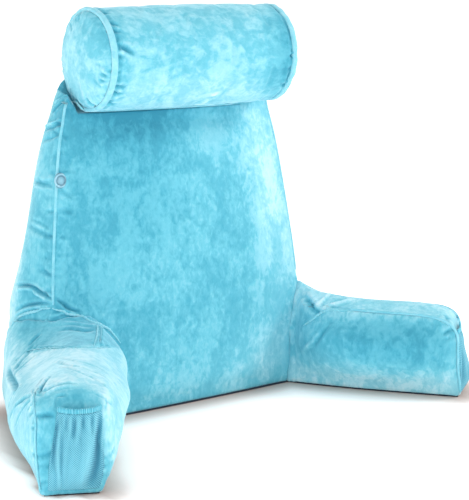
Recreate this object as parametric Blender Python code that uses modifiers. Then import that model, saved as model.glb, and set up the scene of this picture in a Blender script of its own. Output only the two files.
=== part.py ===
"""A reading pillow with arms: a tall filled back, two filled arms that reach forward from its
sides, and a round neck roll carried on the back's top front edge. The cover is velour, sewn from
panels with a thin welt along each main seam. Each arm's front end has a gathered net pocket under
a ruched elastic band, a button sits on the back's left seam, and a dark cloth closes the underside.

Metres, +Z up. The sitter faces -Y, so +X is at the right of someone who looks at the pillow.
The parts hang from one empty, which brings the origin to the bottom centre of the whole.
"""

import math

import bmesh
import bpy
from mathutils import Matrix, Vector
from mathutils.bvhtree import BVHTree

# ---------------------------------------------------------------- driving dimensions
GAP = 0.0003                  # what touching pieces keep between their meshes
BASE_THICK = 0.0028           # the dark cloth of the underside
FILL_FLOOR = BASE_THICK + GAP

BACK_LEAN = 0.092             # how far the back leans away from the sitter for each metre of height
BACK_TOP = 0.525              # height of the front panel's top seam where nothing presses on it
BACK_CORNER = 0.060           # how far the top corners' curve reaches in from the side
TOP_RISE = 0.022              # how much higher the rear seam's top is than the front seam's
TOP_CROWN = 0.012             # how far the top boxing swells

ARM_SPLAY_DEG = {"left": 28.2, "right": 29.3}     # how far each arm turns out from straight ahead
ARM_REACH = {"left": 0.345, "right": 0.294}       # from the front panel's foot to the arm's front face
ARM_REAR = 0.135              # how far an arm runs back along the side of the back
ARM_ROOT_X = 0.212            # where an arm's inner panel leaves the front panel, at the floor
FRONT_SWELL = 0.005           # how far an arm's front face bows forward
FRONT_TURN = {"left": 0.0, "right": 0.20}         # how far an arm's front face falls back outwards
BOW_SKEW = 1.4                # an arm's sides are fullest above their middle

ROLL_RADIUS = 0.0775
ROLL_LENGTH = 0.339           # between the two end seams
ROLL_DOME = 0.020             # how far the round end panels swell
ROLL_CENTRE = (0.0, 0.0176, 0.5648)
ROLL_TURN_DEG = -3.8          # the roll isn't quite parallel to the back

WELT = 0.0026                 # radius of the sewn welts on the back and the arms
WELT_START = 0.187            # where the back's welt comes out from between the back and an arm
ROLL_WELT = 0.0036            # radius of the thicker piping on the roll's ends

POCKET_TOP = 0.1125           # height of the net's top edge
POCKET_FOOT = 0.0060
POCKET_CLOTH = 0.0014
PLUMB_HEIGHT = 0.090          # up to here the arm's front face stands straight
POCKET_SLACK = 0.017          # how far the slack net stands off the arm's front face
GATHER = 0.0022               # depth of the net's gathers at the elastic
ELASTIC_HIGH = 0.0070
ELASTIC_THICK = 0.0032

BUTTON_RADIUS = 0.0120
BUTTON_HIGH = 0.0062
BUTTON_Z = 0.376              # height of its middle
BUTTON_PROFILE = (            # radius and height, as shares of the button's own
    (0.0, 0.0), (0.88, 0.0), (0.98, 0.12), (1.0, 0.26), (0.97, 0.40), (0.86, 0.50),
    (0.80, 0.56), (0.62, 0.80), (0.34, 0.95), (0.0, 1.0),
)

COLLECTION = "reading_pillow"

# ---------------------------------------------------------------- the back, section by section
# height: of the section; half: half width at the front seam; flare: how much wider the rear seam is;
# thick: front seam to rear seam; front, side, rear: how far each panel bows out between its seams.
BACK_COLUMNS = ("height", "half", "flare", "thick", "front", "side", "rear")
BACK_ROWS = (
    (0.000, 0.212, 0.014, 0.130, 0.004, 0.004, 0.006),
    (0.020, 0.219, 0.013, 0.130, 0.010, 0.008, 0.012),
    (0.055, 0.229, 0.010, 0.128, 0.016, 0.011, 0.018),
    (0.100, 0.240, 0.014, 0.123, 0.021, 0.013, 0.023),
    (0.150, 0.247, 0.010, 0.115, 0.025, 0.014, 0.027),
    (0.200, 0.246, 0.003, 0.107, 0.028, 0.015, 0.030),
    (0.250, 0.241, -0.005, 0.099, 0.029, 0.015, 0.031),
    (0.300, 0.234, -0.014, 0.090, 0.028, 0.015, 0.030),
    (0.350, 0.227, -0.018, 0.083, 0.026, 0.014, 0.027),
    (0.400, 0.219, -0.022, 0.076, 0.023, 0.013, 0.023),
    (0.435, 0.212, -0.025, 0.071, 0.019, 0.012, 0.019),
    (0.465, 0.203, -0.028, 0.066, 0.015, 0.011, 0.015),
)
CORNER_STEPS = 6
FRONT_STEPS = 10
SIDE_STEPS = 4

# ---------------------------------------------------------------- an arm, section by section
# along: a share of the reach ahead of the front panel, or of the rear run beside the back if below 0;
# base_in, base_out: the foot's two edges; seam_in, seam_out: the top band's two seams; seam_z: their
# height; dip: how far the inner one is lower where the arm meets the back; crown: how far the band
# bows up; bow_in, bow_out: how far the side panels bow out.
# All but along and the heights are measured across the arm, outwards positive.
ARM_COLUMNS = (
    "along", "base_in", "base_out", "seam_in", "seam_out", "seam_z", "dip", "crown",
    "bow_in", "bow_out",
)
ARM_ROWS = (
    (-1.00, 0.022, 0.086, 0.020, 0.062, 0.108, 0.000, 0.010, 0.006, 0.008),
    (-0.93, 0.012, 0.094, 0.010, 0.066, 0.134, 0.000, 0.016, 0.014, 0.019),
    (-0.78, 0.006, 0.100, 0.004, 0.064, 0.155, 0.000, 0.021, 0.022, 0.031),
    (-0.50, 0.003, 0.103, 0.002, 0.060, 0.170, 0.000, 0.024, 0.026, 0.042),
    (-0.20, 0.001, 0.101, 0.002, 0.056, 0.171, 0.000, 0.024, 0.026, 0.047),
    (0.01, 0.000, 0.098, -0.006, 0.052, 0.160, 0.000, 0.022, 0.030, 0.049),
    (0.08, -0.001, 0.096, -0.010, 0.052, 0.150, 0.000, 0.019, 0.034, 0.050),
    (0.16, -0.002, 0.094, -0.014, 0.053, 0.141, 0.000, 0.018, 0.038, 0.051),
    (0.28, -0.003, 0.091, -0.018, 0.054, 0.137, 0.000, 0.017, 0.042, 0.051),
    (0.42, -0.003, 0.088, -0.020, 0.057, 0.135, 0.000, 0.016, 0.048, 0.049),
    (0.57, -0.001, 0.086, -0.018, 0.064, 0.134, 0.000, 0.016, 0.047, 0.043),
    (0.70, 0.001, 0.084, -0.014, 0.072, 0.134, 0.000, 0.016, 0.041, 0.035),
    (0.80, 0.003, 0.083, -0.011, 0.079, 0.133, 0.000, 0.015, 0.034, 0.028),
    (0.88, 0.004, 0.083, -0.009, 0.084, 0.131, 0.000, 0.014, 0.026, 0.021),
    (0.935, 0.005, 0.083, -0.008, 0.087, 0.126, 0.000, 0.013, 0.018, 0.014),
    (0.97, 0.006, 0.083, -0.007, 0.088, 0.119, 0.000, 0.012, 0.011, 0.009),
    (0.99, 0.006, 0.083, -0.006, 0.088, 0.110, 0.000, 0.010, 0.006, 0.005),
    (1.00, 0.007, 0.082, -0.004, 0.086, 0.100, 0.000, 0.008, 0.003, 0.003),
)
# Near the back the arms differ. The left one's inner side is full right up to the front panel, and the
# right one's is drawn in: these replace the shared values of the sections named by along.
ARM_ROOT_COLUMNS = ("along", "seam_in", "dip", "crown", "bow_in")
ARM_ROOT_ROWS = {
    "left": (
        (-0.50, -0.008, 0.000, 0.010, 0.030),
        (-0.20, -0.018, 0.005, 0.006, 0.034),
        (0.01, -0.028, 0.001, 0.007, 0.040),
        (0.08, -0.026, -0.005, 0.009, 0.043),
        (0.16, -0.022, -0.009, 0.012, 0.046),
        (0.28, -0.018, -0.007, 0.015, 0.048),
        (0.42, -0.018, -0.003, 0.016, 0.049),
    ),
    "right": (
        (-0.20, 0.006, 0.018, 0.024, 0.014),
        (0.01, 0.018, 0.036, 0.022, 0.004),
        (0.08, 0.006, 0.018, 0.019, 0.016),
        (0.16, -0.009, 0.004, 0.018, 0.030),
    ),
}
INNER_STEPS = 8
BAND_STEPS = 6
OUTER_STEPS = 8
FOOT_STEPS = 4

# ---------------------------------------------------------------- the roll's half profile
# end: distance in from the end seam; swell: how far the barrel stands out over the roll's radius
ROLL_COLUMNS = ("end", "swell")
ROLL_ROWS = (
    (0.0000, -0.0057),
    (0.0033, -0.0046),
    (0.0048, -0.0012),
    (0.0100, 0.0000),
    (0.0250, 0.0005),
    (0.0600, 0.0009),
    (0.1100, 0.0011),
)
PIPING_SINK = 0.0015          # how far the piping's middle lies under the roll's radius
DOME_STEPS = 5
ROLL_SIDES = 36

# ---------------------------------------------------------------- a pocket, level by level
# level: share of the pocket's height; edge_in, edge_out: its two side seams, as shares of the front
# face's width; slack: how much of the full slack the net has here
POCKET_COLUMNS = ("level", "edge_in", "edge_out", "slack")
POCKET_ROWS = (
    (0.00, 0.06, 0.91, 0.00),
    (0.07, 0.06, 0.90, 0.14),
    (0.18, 0.05, 0.88, 0.50),
    (0.32, 0.04, 0.87, 0.82),
    (0.48, 0.03, 0.83, 0.96),
    (0.65, 0.04, 0.79, 0.92),
    (0.82, 0.05, 0.75, 0.82),
    (1.00, 0.06, 0.72, 0.76),
)
POCKET_STEPS = 20
GATHER_TURNS = 5.5


# ---------------------------------------------------------------- helpers
def rows_of(columns, rows):
    """The rows of a table as dictionaries, by column name."""
    return [dict(zip(columns, row)) for row in rows]


def bowed(start, end, bow, steps, skew=1.0):
    """Points from start up to, but not at, end, that bow out by the vector bow between the two."""
    return [
        start.lerp(end, step / steps) + bow * math.sin(math.pi * (step / steps) ** skew)
        for step in range(steps)
    ]


def ring_faces(bm, rings):
    """Quads between closed rings with the same number of points."""
    for lower, upper in zip(rings, rings[1:]):
        count = len(lower)
        for i in range(count):
            j = (i + 1) % count
            bm.faces.new((lower[i], lower[j], upper[j], upper[i]))


def cap_faces(bm, ring, swell, levels):
    """Closes a ring with smaller rings inside it, which rise by the vector swell to a middle point."""
    centre = sum((v.co for v in ring), Vector()) / len(ring)
    outer = ring
    for level in range(1, levels):
        share = 1 - level / levels
        rise = swell * (1 - share**2.4)
        inner = [bm.verts.new(centre.lerp(v.co, share) + rise) for v in ring]
        ring_faces(bm, [outer, inner])
        outer = inner
    middle = bm.verts.new(centre + swell)
    for i, vert in enumerate(outer):
        bm.faces.new((vert, outer[(i + 1) % len(outer)], middle))


def finish_mesh(bm, name):
    bmesh.ops.recalc_face_normals(bm, faces=bm.faces)
    bmesh.ops.triangulate(bm, faces=bm.faces, quad_method="FIXED")
    mesh = bpy.data.meshes.new(name)
    bm.to_mesh(mesh)
    bm.free()
    mesh.shade_smooth()
    mesh.set_sharp_from_angle(angle=math.radians(50))
    return mesh


def material(name, colour, roughness):
    made = bpy.data.materials.new(name)
    made.use_nodes = True
    shader = made.node_tree.nodes["Principled BSDF"]
    shader.inputs["Base Color"].default_value = (*colour, 1.0)
    shader.inputs["Roughness"].default_value = roughness
    return made


def add_part(name, data, finish):
    part = bpy.data.objects.new(name, data)
    part.data.materials.append(finish)
    parts.objects.link(part)
    part.parent = whole
    return part


def add_cutter(name, data):
    cutter = bpy.data.objects.new(name, data)
    cutter.hide_render = True
    cutter.display_type = "WIRE"
    cutters.objects.link(cutter)
    cutter.parent = whole
    return cutter


def grow(part, by):
    """Moves a cutter's surface out along its normals."""
    shell = part.modifiers.new("grow", "DISPLACE")
    shell.strength = by
    shell.mid_level = 0.0


def boolean(part, operation, other):
    cut = part.modifiers.new(operation.lower(), "BOOLEAN")
    cut.operation = operation
    cut.object = other
    cut.solver = "EXACT"


def tube(name, points, radius, finish, closed=False):
    """A sewn welt: a tube with eight sides through the points."""
    curve = bpy.data.curves.new(name, "CURVE")
    curve.dimensions = "3D"
    curve.bevel_depth = radius
    curve.bevel_resolution = 2
    curve.use_fill_caps = True
    spline = curve.splines.new("POLY")
    spline.points.add(len(points) - 1)
    for target, point in zip(spline.points, points):
        target.co = (*point, 1.0)
    spline.use_cyclic_u = closed
    return add_part(name, curve, finish)


def surface_of(mesh):
    """A tree of a mesh's faces, to find points on its surface."""
    return BVHTree.FromPolygons([v.co for v in mesh.vertices], [p.vertices for p in mesh.polygons])


def touch(tree, start, towards):
    """Where a ray first meets the surface."""
    hit, _, _, _ = tree.ray_cast(start, towards)
    return hit if hit else tree.find_nearest(start)[0]


# ---------------------------------------------------------------- the back's shape
def back_sections():
    """Rows from the floor to the top: the table's own, then the round top corners."""
    table = rows_of(BACK_COLUMNS, BACK_ROWS)
    shoulder = table[-1]
    for step in range(1, CORNER_STEPS + 1):
        share = step / CORNER_STEPS
        turn = math.pi / 2 * share
        table.append({
            "height": shoulder["height"] + (BACK_TOP - shoulder["height"]) * math.sin(turn),
            "half": shoulder["half"] - BACK_CORNER * (1 - math.cos(turn)),
            "flare": shoulder["flare"],
            "thick": shoulder["thick"] - 0.008 * share,
            "front": shoulder["front"] * (1 - 0.7 * share),
            "side": shoulder["side"] * (1 - 0.5 * share),
            "rear": shoulder["rear"] * (1 - 0.7 * share),
        })
    return table


def back_row_at(height):
    """The back's section at any height, between two of its rows."""
    rows = back_sections()
    above = next(i for i, row in enumerate(rows) if row["height"] >= height)
    low, high = rows[above - 1], rows[above]
    share = (height - low["height"]) / (high["height"] - low["height"])
    return {name: low[name] + (high[name] - low[name]) * share for name in low}


def back_corners(row):
    """The four seams' points on one section: front left, front right, rear right, rear left."""
    z = row["height"] + FILL_FLOOR
    rear_z = z + TOP_RISE * (row["height"] / BACK_TOP) ** 4
    front_y = BACK_LEAN * row["height"]
    rear_y = front_y + row["thick"]
    rear_half = row["half"] + row["flare"]
    return (
        Vector((-row["half"], front_y, z)),
        Vector((row["half"], front_y, z)),
        Vector((rear_half, rear_y, rear_z)),
        Vector((-rear_half, rear_y, rear_z)),
    )


def back_ring(row):
    front_left, front_right, rear_right, rear_left = back_corners(row)
    return (
        bowed(front_left, front_right, Vector((0, -row["front"], 0)), FRONT_STEPS)
        + bowed(front_right, rear_right, Vector((row["side"], 0, 0)), SIDE_STEPS)
        + bowed(rear_right, rear_left, Vector((0, row["rear"], 0)), FRONT_STEPS)
        + bowed(rear_left, front_left, Vector((-row["side"], 0, 0)), SIDE_STEPS)
    )


def back_mesh():
    bm = bmesh.new()
    rings = [[bm.verts.new(p) for p in back_ring(row)] for row in back_sections()]
    ring_faces(bm, rings)
    bm.faces.new(reversed(rings[0]))
    cap_faces(bm, rings[-1], Vector((0, 0, TOP_CROWN)), 3)
    return finish_mesh(bm, "back")


def back_welt_points(surface):
    """Up the front panel's left seam, across under the roll that presses on it, and down the right."""
    off = WELT + GAP
    left = []
    for row in [back_row_at(WELT_START)] + [r for r in back_sections() if r["height"] > WELT_START + 0.01]:
        corner = back_corners(row)[0]
        rise = max(0.0, (row["height"] - BACK_ROWS[-1][0]) / (BACK_TOP - BACK_ROWS[-1][0]))
        away = Vector((rise - 1.0, -1.0, rise)).normalized()
        if corner.x < -ROLL_LENGTH / 2 - 0.014:
            left.append(corner + away * off * 1.3)
    under = []
    axis_y, axis_z = ROLL_CENTRE[1], ROLL_CENTRE[2]
    low = axis_z - ROLL_RADIUS - 0.0035 - off
    reach = ROLL_LENGTH / 2 + 0.007
    for step in range(13):
        x = reach * (step / 6 - 1)
        face = touch(surface, Vector((x, -1.0, low)), Vector((0, 1, 0)))
        under.append(Vector((x, face.y - off, low)))
    right = [Vector((-p.x, p.y, p.z)) for p in reversed(left)]
    return left + under + right


# ---------------------------------------------------------------- an arm's shape
def arm_rows(side):
    """One arm's sections: the shared table, with that side's own values near the back."""
    own = {row["along"]: row for row in rows_of(ARM_ROOT_COLUMNS, ARM_ROOT_ROWS[side])}
    return [{**row, **own.get(row["along"], {})} for row in rows_of(ARM_COLUMNS, ARM_ROWS)]


def arm_frame(side, along):
    """Where an arm's section stands: a point on the inner foot, the way ahead and the way outwards.

    Ahead of the front panel the arm runs straight. Beside the back it turns to lie along it.
    """
    mirror = -1 if side == "left" else 1
    splay = math.radians(ARM_SPLAY_DEG[side])
    if along >= 0:
        turned = splay
        run = along * ARM_REACH[side]
        x = ARM_ROOT_X + math.sin(splay) * run
        y = -math.cos(splay) * run
    else:
        run = -along * ARM_REAR
        turned = splay * (1 + 0.7 * along)
        middle = (splay + turned) / 2
        x = ARM_ROOT_X - math.sin(middle) * run
        y = math.cos(middle) * run
    ahead = Vector((mirror * math.sin(turned), -math.cos(turned), 0))
    outwards = Vector((mirror * math.cos(turned), math.sin(turned), 0))
    outwards -= ahead * FRONT_TURN[side] * max(0.0, 2 * along - 1) ** 2
    return Vector((mirror * x, y, FILL_FLOOR)), ahead, outwards


def arm_corners(side, row):
    """The four seams' points on one section: inner foot, inner top, outer top, outer foot."""
    foot, _, outwards = arm_frame(side, row["along"])
    inner_up = Vector((0, 0, row["seam_z"] - row["dip"]))
    outer_up = Vector((0, 0, row["seam_z"]))
    return (
        foot + outwards * row["base_in"],
        foot + outwards * row["seam_in"] + inner_up,
        foot + outwards * row["seam_out"] + outer_up,
        foot + outwards * row["base_out"],
    )


def arm_ring(side, row):
    _, _, outwards = arm_frame(side, row["along"])
    inner_foot, inner_top, outer_top, outer_foot = arm_corners(side, row)
    up = Vector((0, 0, 1))
    return (
        bowed(inner_foot, inner_top, -outwards * row["bow_in"], INNER_STEPS, BOW_SKEW)
        + bowed(inner_top, outer_top, up * row["crown"], BAND_STEPS)
        + bowed(outer_top, outer_foot, outwards * row["bow_out"], OUTER_STEPS, 1 / BOW_SKEW)
        + bowed(outer_foot, inner_foot, Vector(), FOOT_STEPS)
    )


def arm_mesh(side):
    bm = bmesh.new()
    rows = arm_rows(side)
    rings = [[bm.verts.new(p) for p in arm_ring(side, row)] for row in rows]
    ring_faces(bm, rings)
    _, ahead, _ = arm_frame(side, rows[-1]["along"])
    _, rear_ahead, _ = arm_frame(side, rows[0]["along"])
    cap_faces(bm, rings[-1], ahead * FRONT_SWELL, 6)
    cap_faces(bm, rings[0], -rear_ahead * 0.012, 3)
    return finish_mesh(bm, f"arm_{side}")


def arm_welt_points(side, edge):
    """Along one seam of an arm's top band and down the side of its front face, just outside it."""
    off = (WELT + GAP) * 1.3
    start = 0.05 if edge == "inner" else 0.0
    rows = [row for row in arm_rows(side) if row["along"] >= start]
    points = []
    for row in rows:
        _, ahead, outwards = arm_frame(side, row["along"])
        sideways = -outwards if edge == "inner" else outwards
        nose = max(0.0, (row["along"] - 0.85) / 0.15)
        away = (sideways + Vector((0, 0, 1 - nose)) + ahead * nose).normalized()
        corner = arm_corners(side, row)[1 if edge == "inner" else 2]
        points.append(corner + away * off)
    foot = arm_corners(side, rows[-1])[0 if edge == "inner" else 3] + away * off
    foot.z = FILL_FLOOR + 0.006
    ring = arm_ring(side, rows[-1])
    if edge == "inner":
        front_edge = ring[1:INNER_STEPS][::-1]
    else:
        front_edge = ring[INNER_STEPS + BAND_STEPS + 1:INNER_STEPS + BAND_STEPS + OUTER_STEPS]
    down = [p + away * off for p in front_edge]
    return points + down + [foot]


# ---------------------------------------------------------------- a pocket's shape
def fullness(u):
    """How much of the net's slack is free between its side seams: none at either, all in the middle."""
    return math.sin(math.pi * u) ** 0.7


def face_point(side, surface, share, z, stand_off, u):
    """A point in front of an arm's front face, at a share of the face's width.

    Above PLUMB_HEIGHT the face falls back, and the net hangs straight where its seams leave it free.
    """
    foot, ahead, outwards = arm_frame(side, 1.0)
    last = arm_rows(side)[-1]
    rise = min(1.0, z / last["seam_z"])
    inner = last["base_in"] + (last["seam_in"] - last["base_in"]) * rise
    outer = last["base_out"] + (last["seam_out"] - last["base_out"]) * rise
    start = foot + outwards * (inner + (outer - inner) * share) + ahead * 0.1
    start.z = FILL_FLOOR + z
    on_face = touch(surface, start, -ahead)
    start.z = FILL_FLOOR + min(z, PLUMB_HEIGHT)
    fall = (touch(surface, start, -ahead) - on_face).dot(ahead)
    return on_face + ahead * (stand_off + max(0.0, fall) * fullness(u))


def pocket_mesh(side, surface):
    bm = bmesh.new()
    lines = []
    for row in rows_of(POCKET_COLUMNS, POCKET_ROWS):
        z = POCKET_FOOT + (POCKET_TOP - POCKET_FOOT) * row["level"]
        line = []
        for step in range(POCKET_STEPS + 1):
            u = step / POCKET_STEPS
            share = row["edge_in"] + (row["edge_out"] - row["edge_in"]) * u
            point = face_point(side, surface, share, z, net_stand_off(row, u), u)
            line.append(bm.verts.new(point))
        lines.append(line)
    for lower, upper in zip(lines, lines[1:]):
        for i in range(POCKET_STEPS):
            bm.faces.new((lower[i], lower[i + 1], upper[i + 1], upper[i]))
    return finish_mesh(bm, f"pocket_{side}")


def net_stand_off(row, u):
    """How far the net's middle stands off the face: flat at its side seams, slack and gathered between."""
    seam = POCKET_CLOTH / 2 + 3 * GAP
    waves = math.cos(2 * math.pi * GATHER_TURNS * u) * min(1.0, 5 * u * (1 - u))
    return seam + (POCKET_SLACK + GATHER * waves) * row["slack"] * fullness(u)


def elastic_mesh(side, surface):
    """The ruched band on the net's top edge: a flat tube that swells and narrows along its length."""
    bm = bmesh.new()
    _, ahead, outwards = arm_frame(side, 1.0)
    top = dict(zip(POCKET_COLUMNS, POCKET_ROWS[-1]))
    steps = 30
    z = POCKET_TOP + GAP + ELASTIC_HIGH / 2
    path = []
    for step in range(steps + 1):
        u = step / steps
        share = top["edge_in"] + (top["edge_out"] - top["edge_in"]) * u
        lift = max(0.0, net_stand_off(top, u) - POCKET_CLOTH / 2 - GAP)
        path.append(face_point(side, surface, share, z, lift + ELASTIC_THICK / 2 + GAP, u))
    rings = []
    for i, point in enumerate(path):
        tangent = (path[min(i + 1, steps)] - path[max(i - 1, 0)]).normalized()
        normal = tangent.cross(Vector((0, 0, 1))).normalized()
        ruched = 1.0 if i % 2 else 0.82
        rings.append([
            bm.verts.new(
                point
                + normal * math.cos(math.pi * k / 3) * ELASTIC_THICK / 2 * ruched
                + Vector((0, 0, 1)) * math.sin(math.pi * k / 3) * ELASTIC_HIGH / 2 * ruched
            )
            for k in range(6)
        ])
    ring_faces(bm, rings)
    bm.faces.new(rings[0])
    bm.faces.new(rings[-1])
    return finish_mesh(bm, f"elastic_{side}")


# ---------------------------------------------------------------- the underside
def plate_mesh(name, outline):
    """A flat plate from the floor up to the fill, with the given outline."""
    bm = bmesh.new()
    rings = [[bm.verts.new((p.x, p.y, z)) for p in outline] for z in (0.0, BASE_THICK)]
    ring_faces(bm, rings)
    bm.faces.new(reversed(rings[0]))
    bm.faces.new(rings[1])
    return finish_mesh(bm, name)


def arm_foot_outline(side):
    corners = [arm_corners(side, row) for row in rows_of(ARM_COLUMNS, ARM_ROWS)]
    return [c[0] for c in corners] + [c[3] for c in reversed(corners)]


# ---------------------------------------------------------------- the roll
def roll_mesh():
    """Half a section of the roll, from one end's middle along the barrel to the other, about X."""
    points = []
    seam = ROLL_RADIUS + ROLL_ROWS[0][1]
    for step in range(DOME_STEPS):
        turn = math.pi / 2 * step / DOME_STEPS
        out = ROLL_DOME * math.cos(turn) ** 0.8
        points.append((ROLL_LENGTH / 2 + out, seam * math.sin(turn)))
    for row in rows_of(ROLL_COLUMNS, ROLL_ROWS):
        points.append((ROLL_LENGTH / 2 - row["end"], ROLL_RADIUS + row["swell"]))
    points += [(-x, r) for x, r in reversed(points)]
    bm = bmesh.new()
    verts = [bm.verts.new((x, 0, r)) for x, r in points]
    for first, second in zip(verts, verts[1:]):
        bm.edges.new((first, second))
    mesh = bpy.data.meshes.new("neck_roll")
    bm.to_mesh(mesh)
    bm.free()
    return mesh


def piping_mesh(side):
    """A small circle in the groove of one end seam, for a turn about X."""
    bm = bmesh.new()
    bmesh.ops.create_circle(bm, segments=8, radius=ROLL_WELT)
    bmesh.ops.rotate(bm, matrix=Matrix.Rotation(math.pi / 2, 3, "X"), verts=bm.verts)
    end = ROLL_LENGTH / 2 * (-1 if side == "left" else 1)
    bmesh.ops.translate(bm, vec=(end, 0, ROLL_RADIUS - PIPING_SINK), verts=bm.verts)
    mesh = bpy.data.meshes.new(f"roll_piping_{side}")
    bm.to_mesh(mesh)
    bm.free()
    return mesh


def button_mesh():
    """Half a section of the button: a flat rear, a rim and a low dome, about X."""
    bm = bmesh.new()
    verts = [bm.verts.new((BUTTON_HIGH * h, 0, BUTTON_RADIUS * r)) for r, h in BUTTON_PROFILE]
    for first, second in zip(verts, verts[1:]):
        bm.edges.new((first, second))
    mesh = bpy.data.meshes.new("button")
    bm.to_mesh(mesh)
    bm.free()
    return mesh


def spin(part):
    screw = part.modifiers.new("spin", "SCREW")
    screw.axis = "X"
    screw.steps = ROLL_SIDES
    screw.render_steps = ROLL_SIDES
    screw.use_merge_vertices = True
    screw.merge_threshold = 0.0001
    screw.use_normal_calculate = True
    screw.use_smooth_shade = True


# ---------------------------------------------------------------- build
for old in list(bpy.data.objects):
    bpy.data.objects.remove(old, do_unlink=True)

parts = bpy.data.collections.new(COLLECTION)
cutters = bpy.data.collections.new("cutters")
bpy.context.scene.collection.children.link(parts)
bpy.context.scene.collection.children.link(cutters)
whole = bpy.data.objects.new("whole", None)
parts.objects.link(whole)

velour = material("velour", (0.16, 0.50, 0.62), 0.9)
net = material("net", (0.14, 0.42, 0.52), 0.85)
elastic = material("elastic", (0.18, 0.52, 0.62), 0.8)
base_cloth = material("base_cloth", (0.02, 0.035, 0.06), 0.95)
button_gloss = material("button_gloss", (0.42, 0.62, 0.70), 0.25)

# the neck roll and its two pipings, each with a cutter of the same form
ring_data = {side: piping_mesh(side) for side in ("left", "right")}
pressed_by = []
for name, data in (("neck_roll", roll_mesh()), *((f"roll_piping_{s}", d) for s, d in ring_data.items())):
    part = add_part(name, data, velour)
    cutter = add_cutter(f"{name}_cutter", data)
    for turned in (part, cutter):
        spin(turned)
        turned.location = ROLL_CENTRE
        turned.rotation_euler = (0, 0, math.radians(ROLL_TURN_DEG))
    grow(cutter, 2 * GAP)
    pressed_by.append(cutter)

# the back, with a hollow where the roll lies
back = add_part("back", back_mesh(), velour)
back_surface = surface_of(back.data)
for cutter in pressed_by:
    boolean(back, "DIFFERENCE", cutter)
tube("welt_back", back_welt_points(back_surface), WELT, velour)

# the arms, cut clear of the back
back_cutter = add_cutter("back_cutter", back.data)
grow(back_cutter, 2 * GAP)
base = add_part("base", plate_mesh("base", back_ring(rows_of(BACK_COLUMNS, BACK_ROWS)[0])), base_cloth)
for side in ("left", "right"):
    arm = add_part(f"arm_{side}", arm_mesh(side), velour)
    boolean(arm, "DIFFERENCE", back_cutter)
    arm_surface = surface_of(arm.data)
    for edge in ("inner", "outer"):
        tube(f"welt_{side}_{edge}", arm_welt_points(side, edge), WELT, velour)

    # its net pocket and the elastic
    pocket = add_part(f"pocket_{side}", pocket_mesh(side, arm_surface), net)
    cloth = pocket.modifiers.new("cloth", "SOLIDIFY")
    cloth.thickness = POCKET_CLOTH
    cloth.offset = 0.0
    cloth.use_even_offset = True
    add_part(f"elastic_{side}", elastic_mesh(side, arm_surface), elastic)

    # the underside's dark cloth reaches under the arm
    foot = add_cutter(f"foot_{side}", plate_mesh(f"foot_{side}", arm_foot_outline(side)))
    boolean(base, "UNION", foot)

# the button, on the back's left seam
button = add_part("button", button_mesh(), button_gloss)
spin(button)
button.location = back_corners(back_row_at(BUTTON_Z))[0] + Vector((-0.001, -2.9 * WELT, 0))
button.rotation_euler = (0, 0, math.radians(-98))

# the origin goes to the bottom centre of the whole
bpy.context.view_layer.update()
graph = bpy.context.evaluated_depsgraph_get()
reached = []
for part in parts.objects:
    if part.type != "EMPTY":
        shape = part.evaluated_get(graph)
        reached += [shape.matrix_world @ v.co for v in shape.to_mesh().vertices]
        shape.to_mesh_clear()
low = Vector([min(p[i] for p in reached) for i in range(3)])
high = Vector([max(p[i] for p in reached) for i in range(3)])
whole.location = (-(low.x + high.x) / 2, -(low.y + high.y) / 2, -low.z)
bpy.context.view_layer.update()
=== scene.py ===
from contextlib import contextmanager
import math

import bmesh
import bpy
import numpy as np
from mathutils import Matrix, Vector
from mathutils.bvhtree import BVHTree


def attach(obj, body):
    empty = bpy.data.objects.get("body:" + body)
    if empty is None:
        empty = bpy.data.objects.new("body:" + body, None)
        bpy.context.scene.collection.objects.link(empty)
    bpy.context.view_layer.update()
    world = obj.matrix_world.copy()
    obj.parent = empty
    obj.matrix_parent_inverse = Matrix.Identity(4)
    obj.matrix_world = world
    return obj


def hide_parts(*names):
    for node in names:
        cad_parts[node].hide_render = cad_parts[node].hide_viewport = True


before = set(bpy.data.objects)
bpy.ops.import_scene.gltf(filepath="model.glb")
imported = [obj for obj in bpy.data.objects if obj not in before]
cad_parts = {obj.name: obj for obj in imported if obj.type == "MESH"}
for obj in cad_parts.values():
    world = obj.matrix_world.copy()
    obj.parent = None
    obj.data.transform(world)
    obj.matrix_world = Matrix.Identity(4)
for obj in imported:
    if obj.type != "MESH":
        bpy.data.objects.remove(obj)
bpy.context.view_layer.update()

# ---- Base cloth ------------------------------------------------------------------------------
# The underside is one piece of plain dark navy woven cloth, cut to the foot of the back and both
# arms and sewn to the velour all round, so that it shows from the front only as a thin dark edge.

BASE_THREAD = 0.0011             # from one thread of its weave to the next


def feed(tree, node, inputs):
    """Each named input of a node takes a number, a colour or another node's output."""
    for name, value in inputs.items():
        if isinstance(value, bpy.types.NodeSocket):
            tree.links.new(value, node.inputs[name])
        else:
            node.inputs[name].default_value = value


def add_node(tree, kind, inputs=None, **settings):
    made = tree.nodes.new(kind)
    for name, value in settings.items():
        setattr(made, name, value)
    feed(tree, made, inputs or {})
    return made


def calculate(tree, operation, first, second=0.0, third=0.0):
    """A Math node fed by two or three sockets or numbers."""
    return add_node(tree, "ShaderNodeMath", {0: first, 1: second, 2: third}, operation=operation).outputs[0]


def new_group(name, kind, takes, gives):
    """A node group, its given sockets and its result node. Each socket has a kind or a starting number."""
    group = bpy.data.node_groups.new(name, kind)
    for way, sockets in (("INPUT", takes), ("OUTPUT", gives)):
        for label, value in sockets.items():
            sort = "Float" if isinstance(value, float) else value
            made = group.interface.new_socket(label, in_out=way, socket_type="NodeSocket" + sort)
            if isinstance(value, float):
                made.default_value = value
    return group, add_node(group, "NodeGroupInput").outputs, add_node(group, "NodeGroupOutput")


def new_material(name):
    material = bpy.data.materials.new(name)
    material.use_nodes = True
    return material, material.node_tree, material.node_tree.nodes["Principled BSDF"]


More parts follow.
